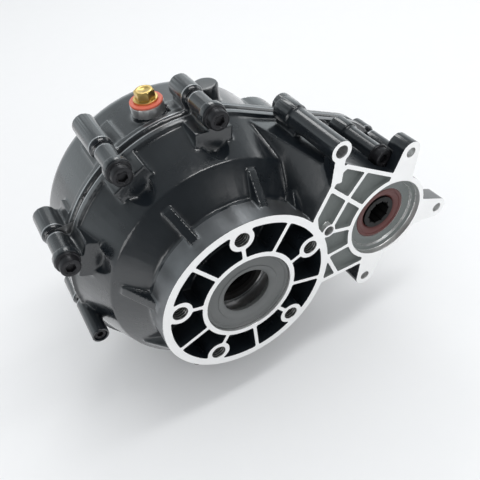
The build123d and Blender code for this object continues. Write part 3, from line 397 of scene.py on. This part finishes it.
# %% Finishes: screws, steels, brass, rubbers and gasket
def plain_finish(name, dark, light, rough, relief_mm, ring_pitch=None, **constants):
    """A finish between two colours and two roughnesses, with a cast grain or a cutter's rings."""
    material, tree, shader = start_finish(name, **constants)
    skin = use_group(tree, cast_skin, Grain=1.0, Peel=0.4)
    height = skin.outputs["Height"]
    if ring_pitch:
        height = use_group(tree, cutter_rings, Pitch_mm=ring_pitch).outputs["Height"]
    tree.links.new(two_colours(tree, skin.outputs["Mottle"], dark, light), shader.inputs["Base Color"])
    tree.links.new(spread(tree, skin.outputs["Mottle"], *rough), shader.inputs["Roughness"])
    bump(tree, shader, height, relief_mm)
    return material


black_screw = plain_finish("black_oxide_screw", (0.012, 0.012, 0.014), (0.035, 0.035, 0.038), (0.25, 0.42),
                           0.01, Metallic=0.6)
ground_steel = plain_finish("ground_steel", (0.55, 0.55, 0.56), (0.68, 0.68, 0.69), (0.18, 0.30), 0.004, 0.3,
                            Metallic=1.0)
gear_steel = plain_finish("oiled_gear_steel", (0.36, 0.35, 0.33), (0.50, 0.49, 0.47), (0.25, 0.40), 0.006,
                          0.5, Metallic=1.0, Coat_Weight=0.3)
case_iron = plain_finish("cast_iron_case", (0.022, 0.021, 0.020), (0.05, 0.048, 0.046), (0.45, 0.65), 0.06,
                         Metallic=0.4)
# A lighter grey metal for a thin line beside the parting: a painted highlight along the rim's edge.
parting_highlight_metal = plain_finish("painted_parting_highlight", (0.26, 0.27, 0.28), (0.58, 0.59, 0.60), (0.35, 0.5), 0.03,
                          Metallic=0.9)
rim_metal = plain_finish("turned_flange_side", (0.12, 0.125, 0.13), (0.26, 0.27, 0.28), (0.28, 0.42), 0.03,
                         Metallic=0.85)
plug_brass = plain_finish("plug_brass", (0.62, 0.42, 0.13), (0.80, 0.60, 0.24), (0.22, 0.38), 0.01,
                          Metallic=1.0)
washer_red = plain_finish("washer_coral", (0.55, 0.10, 0.06), (0.70, 0.17, 0.11), (0.35, 0.5), 0.02)
seal_grey = plain_finish("seal_grey_rubber", (0.075, 0.080, 0.080), (0.125, 0.13, 0.13), (0.42, 0.6), 0.02)
seal_red = plain_finish("seal_brown_rubber", (0.060, 0.012, 0.011), (0.115, 0.026, 0.022), (0.4, 0.55), 0.02)
shaft_dark = plain_finish("shaft_dark_steel", (0.003, 0.003, 0.003), (0.008, 0.008, 0.008), (0.45, 0.6),
                          0.004, 0.3, Specular_IOR_Level=0.25)
gasket_sheet = plain_finish("gasket_sheet", (0.008, 0.008, 0.008), (0.02, 0.02, 0.02), (0.7, 0.9), 0.05)
floor_white = plain_finish("floor_white", (0.80, 0.805, 0.81), (0.815, 0.82, 0.825), (0.85, 0.9), 0.0)
floor.data.materials.append(floor_white)
print(len(bpy.data.materials), "finishes")

# %% [markdown]
# The case halves are castings. A casting has no sharp edge: metal has to flow and leave the
# mould, so inner corners have fillets and outer ones are rounded. Rounding every edge of such
# a shape by hand, or with a Bevel, fails where many meet. Instead a copy of the solid is
# rebuilt on a fine grid of cubes, its inner corners are grown by moving points outwards,
# and its outer edges are relaxed. Then it is milled as the real one is: cut off flat.

# %% Helper: relax a mesh as whole arrays
def read_mesh(mesh):
    """A mesh's points and its edges' two ends, as arrays."""
    points = np.empty(len(mesh.vertices) * 3)
    mesh.vertices.foreach_get("co", points)
    ends = np.empty(len(mesh.edges) * 2, dtype=np.int64)
    mesh.edges.foreach_get("vertices", ends)
    return points.reshape(-1, 3), ends.reshape(-1, 2)


def pull_to_neighbours(points, ends):
    """For each point, the step that takes it to the mean of the points that it shares edges with."""
    count = len(points)
    met = np.bincount(ends.ravel(), minlength=count)
    total = np.stack([np.bincount(ends[:, 0], points[ends[:, 1], k], count)
                      + np.bincount(ends[:, 1], points[ends[:, 0], k], count) for k in range(3)], axis=1)
    return total / met[:, None] - points


def normals_of(mesh):
    """The outward unit vector at each point of a mesh."""
    mesh.update()
    outwards = np.empty(len(mesh.vertices) * 3)
    mesh.vertex_normals.foreach_get("vector", outwards)
    return outwards.reshape(-1, 3)


# %% How a casting is rounded and milled
front_cube, rear_cube = ((0.55 * mm, 0.65 * mm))
fillet_rounds, fillet_growth = 24, 0.9
edge_rounds, relax_share, swell_share = 3, 0.5, -0.52
draw_depth = 3 * mm
mill_stock = 0.5 * mm
rim_bevel = 2.3 * mm
least_sideways, smallest_divisor = 0.5, 0.2
front_triangles, rear_triangles = 184000, 176000
weld_distance = 0.002 * mm
plane_distance = 0.0001 * mm
casting_edge_angle = math.radians(38)
turned_edge_angle = math.radians(35)
print("fillet rounds", fillet_rounds, "edge rounds", edge_rounds)

# %% Helper: cast a copy of a node
def merged_copy(node, name):
    """A new object with a copy of a CAD node's mesh, its loose triangles joined into one skin."""
    piece = bpy.data.objects.new(name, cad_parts[node].data.copy())
    bpy.context.scene.collection.objects.link(piece)
    work = bmesh.new()
    work.from_mesh(piece.data)
    bmesh.ops.remove_doubles(work, verts=work.verts, dist=weld_distance)
    work.to_mesh(piece.data)
    work.free()
    return piece


def with_modifier(piece, kind, **settings):
    """Apply one modifier to a piece at once."""
    modifier = piece.modifiers.new(kind, kind)
    for label, value in settings.items():
        setattr(modifier, label, value)
    made = bpy.data.meshes.new_from_object(piece.evaluated_get(bpy.context.evaluated_depsgraph_get()))
    piece.modifiers.clear()
    piece.data = made


def bevel_rim(points, outwards, level):
    """Draw the sides of a casting inwards near its parting face, which leaves a sloped rim.

    The step inwards falls from the bevel's width at the face to nothing one width away from it.
    """
    sideways = np.hypot(outwards[:, 0], outwards[:, 2])
    on_side = sideways > least_sideways
    depth = np.clip(1 - np.abs(level - points[:, 1]) / rim_bevel, 0, 1) * rim_bevel
    for axis in (0, 2):
        points[:, axis] -= outwards[:, axis] / np.maximum(sideways, smallest_divisor) * depth * on_side


def cast(node, name, cube, crisp, mill_levels, parting, most_triangles):
    """Rebuild a node with cast fillets and rounded edges.

    crisp(points) gives 1 where a cutter works and no fillet grows, and 0 elsewhere. Near each
    (level, side) in mill_levels the metal is drawn out a little, to be cut off flat there. The
    rim is bevelled at the parting level.
    """
    piece = merged_copy(node, name)
    with_modifier(piece, "REMESH", mode="VOXEL", voxel_size=cube)
    points, ends = read_mesh(piece.data)
    outwards = normals_of(piece.data)
    free = 1.0 - crisp(points)
    for _ in range(fillet_rounds):
        step = (pull_to_neighbours(points, ends) * outwards).sum(axis=1)
        points += outwards * (np.maximum(step, 0) * fillet_growth * free)[:, None]
    for share in (relax_share, swell_share) * edge_rounds:
        points += share * pull_to_neighbours(points, ends)
    piece.data.vertices.foreach_set("co", points.ravel())
    bevel_rim(points, normals_of(piece.data), parting)
    for level, side in mill_levels:
        depth = np.clip(1 - side * (level - points[:, 1]) / draw_depth, 0, 1)
        points[:, 1] += side * mill_stock * depth
    piece.data.vertices.foreach_set("co", points.ravel())
    piece.data.update()
    with_modifier(piece, "DECIMATE", ratio=most_triangles / (2 * len(piece.data.polygons)))
    return piece


# %% Helper: mill a casting flat
# The fourth finish number is the lighter line beside the parting, a painted highlight.
PAINT, BARE, THIN, PAINTED_HIGHLIGHT, TAPPED, TURNED = range(6)
case_finishes = {PAINT: case_paint, BARE: milled, THIN: thin_paint, PAINTED_HIGHLIGHT: parting_highlight_metal, TAPPED: tapped,
                 TURNED: rim_metal}


def mill(work, level, side):
    """Cut a bmesh off at a level along the axle and close it with flat bare faces."""
    everything = work.verts[:] + work.edges[:] + work.faces[:]
    cut = bmesh.ops.bisect_plane(work, geom=everything, dist=plane_distance, plane_co=(0, level, 0),
                                 plane_no=(0, side, 0), clear_outer=True)
    rim = [part for part in cut["geom_cut"] if isinstance(part, bmesh.types.BMEdge)]
    filled = bmesh.ops.triangle_fill(work, use_beauty=True, edges=rim, normal=(0, side, 0))
    for part in filled["geom"]:
        if isinstance(part, bmesh.types.BMFace):
            part.material_index = BARE


def score(work, level):
    """Divide the faces of a bmesh at a level along the axle, so that a finish can end there."""
    everything = work.verts[:] + work.edges[:] + work.faces[:]
    bmesh.ops.bisect_plane(work, geom=everything, dist=plane_distance, plane_co=(0, level, 0),
                           plane_no=(0, 1, 0))


def machine(piece, levels, scores):
    """Mill a casting at several levels along the axle, and score it at others."""
    work = bmesh.new()
    work.from_mesh(piece.data)
    for level, side in levels:
        mill(work, level, side)
    for level in scores:
        score(work, level)
    work.to_mesh(piece.data)
    work.free()


def face_arrays(mesh):
    """The middle and the normal of every face, as arrays."""
    middle, normal = np.empty(len(mesh.polygons) * 3), np.empty(len(mesh.polygons) * 3)
    mesh.polygons.foreach_get("center", middle)
    mesh.polygons.foreach_get("normal", normal)
    return middle.reshape(-1, 3), normal.reshape(-1, 3)


def read_finish(mesh):
    """The finish number of every face, as an array. Milled faces already have theirs."""
    finish = np.empty(len(mesh.polygons), dtype=np.int32)
    mesh.polygons.foreach_get("material_index", finish)
    return finish


def paint_case(mesh, finish):
    """Give a case half its finishes, face by face, and shade it smooth between its sharp edges."""
    mesh.materials.clear()
    for number in sorted(case_finishes):
        mesh.materials.append(case_finishes[number])
    mesh.polygons.foreach_set("material_index", finish)
    mesh.shade_smooth()
    mesh.set_sharp_from_angle(angle=casting_edge_angle)


def from_axis(points, axis):
    """Distance of points from a line along the axle's direction, given by its x and z."""
    return np.hypot(points[:, 0] - axis[0], points[:, 2] - axis[1])


# %% Where cutters work on the case
def around(centre, radius, angles):
    """Points on a circle seen along the axle, as (x, z) in metres. Angles are in degrees."""
    turn = np.radians(np.asarray(angles, float))
    return np.stack([centre[0] + radius * np.cos(turn), centre[1] + radius * np.sin(turn)], axis=1)


flange_circle, motor_circle = 50 * mm, 51.5 * mm
tower_circle, pin_circle, lobe_circle = 104.5 * mm, 95 * mm, 45 * mm
flange_holes = around(axle_axis, flange_circle, 90 + 72 * np.arange(5))
motor_holes = around(motor_axis, motor_circle, 72 - 90 * np.arange(4))
tower_screws = around(axle_axis, tower_circle, (81, 117, 153, 252, 288))
pin_screw = around(axle_axis, pin_circle, (188.5,))[0]
bridge_screw = np.array((88, 64)) * mm
lobe_screws = [*around(motor_axis, lobe_circle, (12, -62)), bridge_screw]
boss_screw = around(motor_axis, lobe_circle, (88,))[0]
tower_seat, boss_seat = 49 * mm, 16 * mm
screw_seats = [(at, tower_seat) for at in tower_screws]
screw_seats += [(at, seat * mm) for at, seat in zip(lobe_screws, (40, 40, 48))]
screw_seats.append((boss_screw, boss_seat))
tube_ends = np.array((97, 111, 100, 100, 100, 92, 92, 92, 60)) * mm
tip_depth = 12 * mm
screw_ends = tube_ends - tip_depth
pin_seat, pin_end = 44 * mm, 88 * mm
bracket_hole = np.array((71.7, 80.4)) * mm
plug_centre = np.array((-8, 96)) * mm
print(len(screw_seats) + 1, "screws")


def near_any(points, centres, radius):
    """True where a point is within a radius of any of several lines along the axle's direction."""
    return np.any([from_axis(points, centre) < radius for centre in centres], axis=0)


axle_zone, motor_zone, hole_zone = 43 * mm, 32 * mm, 6.4 * mm
seat_zone, pin_seat_zone, seat_depth = 9.2 * mm, 5.2 * mm, 1 * mm


def on_seat(points, at, radius, seat):
    """True on a screw's seat: within a radius of the screw and in front of a little past the seat."""
    return (from_axis(points, at) < radius) & (points[:, 1] < seat + seat_depth)


def crisp_front(points):
    """1 round the front half's bores, holes and seats, where no fillet grows, and 0 elsewhere."""
    bores = (from_axis(points, axle_axis) < axle_zone) | (from_axis(points, motor_axis) < motor_zone)
    holes = near_any(points, [*flange_holes, *motor_holes, bracket_hole], hole_zone)
    seats = np.any([on_seat(points, at, seat_zone, seat) for at, seat in screw_seats], axis=0)
    seats |= on_seat(points, pin_screw, pin_seat_zone, pin_seat)
    return (bores | holes | seats).astype(float)


def crisp_rear(points):
    """1 round the rear half's bore and tapped holes, and 0 elsewhere."""
    bores = from_axis(points, axle_axis) < axle_zone
    return (bores | near_any(points, flange_holes, hole_zone)).astype(float)


# %% [markdown]
# The front half is made first. After milling, every face is given a finish by where it lies:
# bare on the milled faces, the register's wall, the seal seats and the plain holes, threaded in
# the tapped holes, turned on the flange's outer side, thinly painted on the register's floor and
# in the web's pockets, lighter metal in a line beside the parting as a painted highlight on the
# rim's edge, and gloss black elsewhere.

# %% The pockets of the web
web_corners = np.array([(51, 37.5), (69, 65.5), (76, 69.5), (129.8, 33.6), (106.9, -27.7), (55, -25)]) * mm
pocket_floor = 4.0 * mm
pocket_end = pocket_floor + 0.6 * mm
behind_face = 0.25 * mm
look_ahead = 1.2 * mm
outside_axle_ring, outside_motor_ring = 61.3 * mm, 33.2 * mm


def inside_web(points):
    """True where a point lies inside the web's outline, a convex shape drawn clockwise."""
    spot = points[:, (0, 2)]
    inside = np.ones(len(points), dtype=bool)
    for corner, following in zip(web_corners, np.roll(web_corners, -1, axis=0)):
        side = following - corner
        inside &= side[0] * (spot[:, 1] - corner[1]) < side[1] * (spot[:, 0] - corner[0])
    return inside


def in_pockets(middle, normal):
    """True on the floors and walls of the web's pockets, whose faces look into the pocket."""
    near = (middle[:, 1] > behind_face) & (middle[:, 1] < pocket_end)
    near &= from_axis(middle, axle_axis) > outside_axle_ring
    near &= from_axis(middle, motor_axis) > outside_motor_ring
    return near & inside_web(middle + look_ahead * normal)


# %% The outer side of an axle flange
flange_side_inner, flange_side_outer = 60 * mm, 62.5 * mm


def on_flange_side(middle, normal):
    """True on the round outer side of an axle flange, away from the web."""
    from_axle = from_axis(middle, axle_axis)
    on_ring = (from_axle > flange_side_inner) & (from_axle < flange_side_outer)
    return on_ring & (np.abs(normal[:, 1]) < 0.5) & ~inside_web(middle + look_ahead * normal)


# %% The front case half
# Width of the lighter line beside the parting that is painted as a highlight.
highlight_band_width = 1.1 * mm
rim_start = front_parting - rim_bevel
register_end, flange_side = 7.2 * mm, 17.5 * mm
register_r, register_floor_r = 31.5 * mm, 29.8 * mm
motor_seat_r, motor_seat_end = 27 * mm, 40 * mm
plain_hole_r, plain_hole_end = 5.2 * mm, 73 * mm
faces_front = -0.5
axle_seat_r, axle_seat_depth = 31.6 * mm, 39 * mm
tapped_r, tapped_depth = 6.6 * mm, 19.5 * mm
front_levels = [(0.0, -1), (front_parting, 1)]
front_case = cast("front_housing", "front_case_casting", front_cube, crisp_front, front_levels, front_parting,
                  front_triangles)
machine(front_case, front_levels, (behind_face, pocket_end, register_end, flange_side, rim_start,
                                   rim_start - highlight_band_width))
middle, normal = face_arrays(front_case.data)
finish = read_finish(front_case.data)
y = middle[:, 1]
from_axle, from_motor = from_axis(middle, axle_axis), from_axis(middle, motor_axis)
in_register = (y > behind_face) & (y < register_end)
finish[in_pockets(middle, normal)] = THIN
finish[on_flange_side(middle, normal) & (y > behind_face) & (y < flange_side)] = TURNED
finish[(from_motor < register_r) & in_register] = BARE
finish[(from_motor < register_floor_r) & in_register & (normal[:, 1] < faces_front)] = THIN
bare = (from_motor < motor_seat_r) & (y > register_end) & (y < motor_seat_end)
bare |= (from_axle < axle_seat_r) & (y < axle_seat_depth)
bare |= near_any(middle, [*motor_holes, bracket_hole], plain_hole_r) & (y < plain_hole_end)
finish[bare] = BARE
finish[near_any(middle, flange_holes, tapped_r) & (y > behind_face) & (y < tapped_depth)] = TAPPED
# A band just in front of the rim's bevel gets the lighter metal: a painted highlight along that edge.
finish[(y > rim_start - highlight_band_width) & (y < rim_start)] = PAINTED_HIGHLIGHT
paint_case(front_case.data, finish)
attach(front_case, "housing")
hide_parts("front_housing")
print("front case", len(front_case.data.polygons), "faces,", int((finish == BARE).sum()), "bare")

# %% The rear case half
rear_flange_side = 10 * mm
boss_r, boss_side_start = 11.4 * mm, 94.5 * mm
rim_end = rear_parting + rim_bevel
face_start = case_end - behind_face
rear_levels = [(rear_parting, -1), (case_end, 1)]
rear_case = cast("rear_housing", "rear_case_casting", rear_cube, crisp_rear, rear_levels, rear_parting,
                 rear_triangles)
machine(rear_case, rear_levels, (rim_end, rim_end + highlight_band_width, case_end - rear_flange_side, face_start))
middle, normal = face_arrays(rear_case.data)
finish = read_finish(rear_case.data)
y = middle[:, 1]
bare = (from_axis(middle, axle_axis) < axle_seat_r) & (y > case_end - axle_seat_depth)
from_plug = np.hypot(middle[:, 0] - plug_centre[0], middle[:, 1] - plug_centre[1])
bare |= (from_plug < boss_r) & (middle[:, 2] > boss_side_start)
finish[bare] = BARE
finish[near_any(middle, flange_holes, tapped_r) & (y > case_end - tapped_depth) & (y < face_start)] = TAPPED
finish[on_flange_side(middle, normal) & (y > case_end - rear_flange_side) & (y < face_start)] = TURNED
# The same painted highlight: a lighter metal band just behind the rim's bevel.
finish[(y > rim_end) & (y < rim_end + highlight_band_width)] = PAINTED_HIGHLIGHT
paint_case(rear_case.data, finish)
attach(rear_case, "housing")
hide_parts("rear_housing")
print("rear case", len(rear_case.data.polygons), "faces")

# %% [markdown]
# Screws, plugs and seals are turned or moulded parts. Each is one outline of (radius, height)
# points carried round an axis, so its surface is a grid: one direction follows the outline,
# the other goes round. Where the outline has a hexagon, the radius changes with the angle too.

# %% Helper: carry an outline round an axis
def hexagon(turn):
    """Distance from the centre to a hexagon's side, over its inner radius, at each angle."""
    sixth = math.pi / 3
    return 1 / np.cos((turn + sixth / 2) % sixth - sixth / 2)


def carried_round(outline, around_count=48):
    """A grid of points: rows along the outline, columns round +Z. A row is (radius, height, share),
    where share is how far the row is a hexagon and not a circle."""
    radius, height, share = np.array(outline, float).T
    turn = np.linspace(0, 2 * math.pi, around_count, endpoint=False)
    reach = radius[:, None] * (1 + share[:, None] * (hexagon(turn)[None] - 1))
    heights = np.repeat(height[:, None], around_count, 1)
    return np.stack([reach * np.cos(turn), reach * np.sin(turn), heights], -1)


def skin_over(name, grids, closed_loop=False):
    """One mesh from one or more grids of points, each joined into quads and closed all round."""
    points, faces, start = [], [], 0
    for grid in grids:
        rows, columns = grid.shape[:2]
        index = start + np.arange(rows * columns).reshape(rows, columns)
        low = index if closed_loop else index[:-1]
        high = np.roll(index, -1, axis=0) if closed_loop else index[1:]
        faces.append(np.stack([low, np.roll(low, -1, 1), np.roll(high, -1, 1), high], -1).reshape(-1, 4))
        points.append(grid.reshape(-1, 3))
        start += rows * columns
    mesh = bpy.data.meshes.new(name)
    mesh.from_pydata(np.concatenate(points).tolist(), [], np.concatenate(faces).tolist())
    work = bmesh.new()
    work.from_mesh(mesh)
    bmesh.ops.remove_doubles(work, verts=work.verts, dist=weld_distance / 2)
    bmesh.ops.recalc_face_normals(work, faces=work.faces)
    work.to_mesh(mesh)
    work.free()
    mesh.shade_smooth()
    mesh.set_sharp_from_angle(angle=turned_edge_angle)
    return mesh


def along_axle(grid, centre, station, way=1):
    """Turn a grid made about +Z to point along the axle: way 1 to the rear, -1 to the front."""
    x, y, z = grid[..., 0], grid[..., 1], grid[..., 2]
    return np.stack([centre[0] + x, station + way * z, centre[1] + y], -1)


def new_piece(name, mesh, material, body, slot, *nodes):
    """Make an object of a mesh, with its finish, the body it rides on and the nodes it stands for."""
    piece = bpy.data.objects.new(name, mesh)
    bpy.context.scene.collection.objects.link(piece)
    mesh.materials.append(material)
    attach(piece, body)
    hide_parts(*nodes)
    print(name, len(mesh.polygons), "faces")


# %% The case screws
def screw_outline(tip, head=6.4, head_height=5.5, flange=7.8, flange_height=1.6, socket=3.4, socket_depth=3.0,
                  shank=4.0):
    """Outline of a flanged socket screw from its tip, below 0, to its socket. Its seat is at 0."""
    top = flange_height + head_height
    return np.array([(0, tip, 0), (shank * 0.75, tip, 0), (shank, tip + 1, 0), (shank, 0, 0),
                     (flange - 0.3, 0, 0), (flange, 0.3, 0), (flange, flange_height * 0.6, 0),
                     (flange - 0.4, flange_height, 0), (head + 0.25, flange_height + 0.15, 0),
                     (head, flange_height + 0.5, 0), (head, top - 0.9, 0), (head - 0.25, top - 0.3, 0),
                     (head - 0.9, top, 0), (socket + 0.75, top, 0), (socket + 0.05, top - 0.45, 1),
                     (socket * 0.866, top - 0.5, 1), (socket * 0.866, top - socket_depth, 1),
                     (0, top - socket_depth - 0.6, 0)])


def millimetres(outline):
    """An outline in millimetres, with its first two columns turned into metres."""
    scaled = np.array(outline, float)
    scaled[:, :2] *= mm
    return scaled


bolt_grids = [along_axle(carried_round(millimetres(screw_outline((seat - end) / mm))), at, seat, -1)
              for (at, seat), end in zip(screw_seats, screw_ends)]
pin_outline = screw_outline((pin_seat - pin_end) / mm, head=4.2, head_height=3.4, flange=4.2, socket=2.3,
                            shank=2.5)
bolt_grids.append(along_axle(carried_round(millimetres(pin_outline)), pin_screw, pin_seat, -1))
new_piece("case_screws", skin_over("case_screws", bolt_grids), black_screw, "housing", "black_screw",
          "case_bolts")

# %% The filler plug and its washer
plug_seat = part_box("filler_plug_washer")[1].z
washer_height = 1.6
plug_outline = [(0, -11, 0), (6.2, -11, 0), (7, -10.2, 0), (7, 0, 0), (7.7, 0, 0), (8, 0.3, 0), (8, 1.3, 0),
                (7.7, 1.6, 0), (5.72, 1.7, 1), (5.72, 6.3, 1), (5.60, 6.75, 0.75), (5.45, 7.0, 0.2),
                (5.0, 7.1, 0), (3.2, 7.1, 0), (2.9, 6.9, 0), (0, 6.8, 0)]
plug_grid = carried_round(millimetres(plug_outline), 72) + np.array((*plug_centre, plug_seat))
new_piece("filler_plug_brass", skin_over("filler_plug_brass", [plug_grid]), plug_brass, "housing", "brass",
          "filler_plug")
washer_outline = [(7.0, 0.2, 0), (7.2, 0, 0), (10.5, 0, 0), (10.8, 0.35, 0), (10.8, 1.25, 0), (10.5, 1.6, 0),
                  (7.2, 1.6, 0), (7.0, 1.4, 0)]
washer_place = np.array((*plug_centre, plug_seat - washer_height * mm))
washer_grid = carried_round(millimetres(washer_outline), 64) + washer_place
new_piece("filler_plug_seal", skin_over("filler_plug_seal", [washer_grid], True), washer_red, "housing",
          "copper_red", "filler_plug_washer")

# %% The drain plug and its washer
drain_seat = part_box("drain_plug_washer")[0].z
drain_place = np.array((0, 100 * mm, drain_seat))
drain_outline = [(0, 11, 0), (5.2, 11, 0), (6, 10.2, 0), (6, 0, 0), (8.7, 0, 0), (9, -0.3, 0), (9, -4.4, 0),
                 (8.4, -5, 0), (4.6, -5, 0), (3.46, -4.6, 1), (3.46, -1.2, 1), (0, -1, 0)]
drain_grid = carried_round(millimetres(drain_outline)) + drain_place
new_piece("drain_plug_steel", skin_over("drain_plug_steel", [drain_grid]), black_screw, "housing",
          "black_screw", "drain_plug")
drain_washer = [(6.0, 0.2, 0), (6.2, 0, 0), (9.2, 0, 0), (9.5, 0.3, 0), (9.5, 1.3, 0), (9.2, 1.6, 0),
                (6.2, 1.6, 0), (6.0, 1.4, 0)]
drain_seal_grid = carried_round(millimetres(drain_washer)) + drain_place
new_piece("drain_plug_seal", skin_over("drain_plug_seal", [drain_seal_grid], True), washer_red, "housing",
          "copper_red", "drain_plug_washer")

# %% [markdown]
# A shaft seal is rubber moulded over a steel ring: a flat face with a shallow channel, then a
# lip that leans in to touch the shaft. Its outline is a closed loop, carried round the shaft.

# %% The shaft seals
def seal_outline(outer, lip, width):
    """Closed outline of a shaft seal whose visible face is at height 0 and whose body goes to width."""
    channel = [(outer, 0.5, 0), (outer - 0.5, 0, 0), (outer - 2.2, 0, 0), (outer - 2.5, 0.5, 0),
               (outer - 2.9, 0.9, 0), (lip + 5.2, 1.0, 0), (lip + 4.8, 0.5, 0), (lip + 4.0, 0.4, 0)]
    lip_round = [(lip + 1.6, 1.2, 0), (lip + 0.3, 2.2, 0), (lip, 2.6, 0), (lip + 0.3, 3.2, 0),
                 (lip + 1.4, width * 0.75, 0), (lip + 2.6, width * 0.8, 0), (lip + 3.2, 2.6, 0)]
    ring = [(outer - 2, 2.6, 0), (outer - 2, width, 0), (outer - 0.4, width, 0), (outer, width - 0.4, 0)]
    return channel + lip_round + ring


axle_seal_inset, motor_seal_seat = 1.8 * mm, 7 * mm
axle_seal = carried_round(millimetres(seal_outline(31, 17, 8)), 120)
front_seal = skin_over("front_axle_seal_rubber", [along_axle(axle_seal, axle_axis, axle_seal_inset)], True)
new_piece("front_axle_seal_rubber", front_seal, seal_grey, "housing", "grey_rubber", "front_axle_seal")
rear_seal = skin_over("rear_axle_seal_rubber",
                      [along_axle(axle_seal, axle_axis, case_end - axle_seal_inset, -1)], True)
new_piece("rear_axle_seal_rubber", rear_seal, seal_grey, "housing", "grey_rubber", "rear_axle_seal")
motor_seal = carried_round(millimetres(seal_outline(20, 12.8, 7)), 96)
input_seal = skin_over("input_seal_rubber", [along_axle(motor_seal, motor_axis, motor_seal_seat)], True)
new_piece("input_seal_rubber", input_seal, seal_red, "housing", "red_rubber", "input_seal")

# %% [markdown]
# What is left are CAD nodes whose shape is right: gears, shafts, bearing rings and the gasket.
# They only get a finish. Their material slots are cleared first, so that one finish remains.

# %% Finishes for the CAD nodes
node_finish = {"case_gasket": gasket_sheet, "differential_case": case_iron, "differential_cover": case_iron,
               "input_shaft": shaft_dark, "front_side_gear": shaft_dark, "rear_side_gear": shaft_dark}
for name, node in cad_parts.items():
    if node.hide_render:
        continue
    ground = any(word in name for word in ("bearing", "pin", "washer"))
    node.data.materials.clear()
    node.data.materials.append(node_finish.get(name, ground_steel if ground else gear_steel))
print(sum(not node.hide_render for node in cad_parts.values()), "nodes keep their CAD shape")

shown_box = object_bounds()
corner_pairs = zip((*shown_box[0], *shown_box[1]), (*cad_box[0], *cad_box[1]))
print("box grows by", [round((shown - cad) / mm, 2) for shown, cad in corner_pairs])
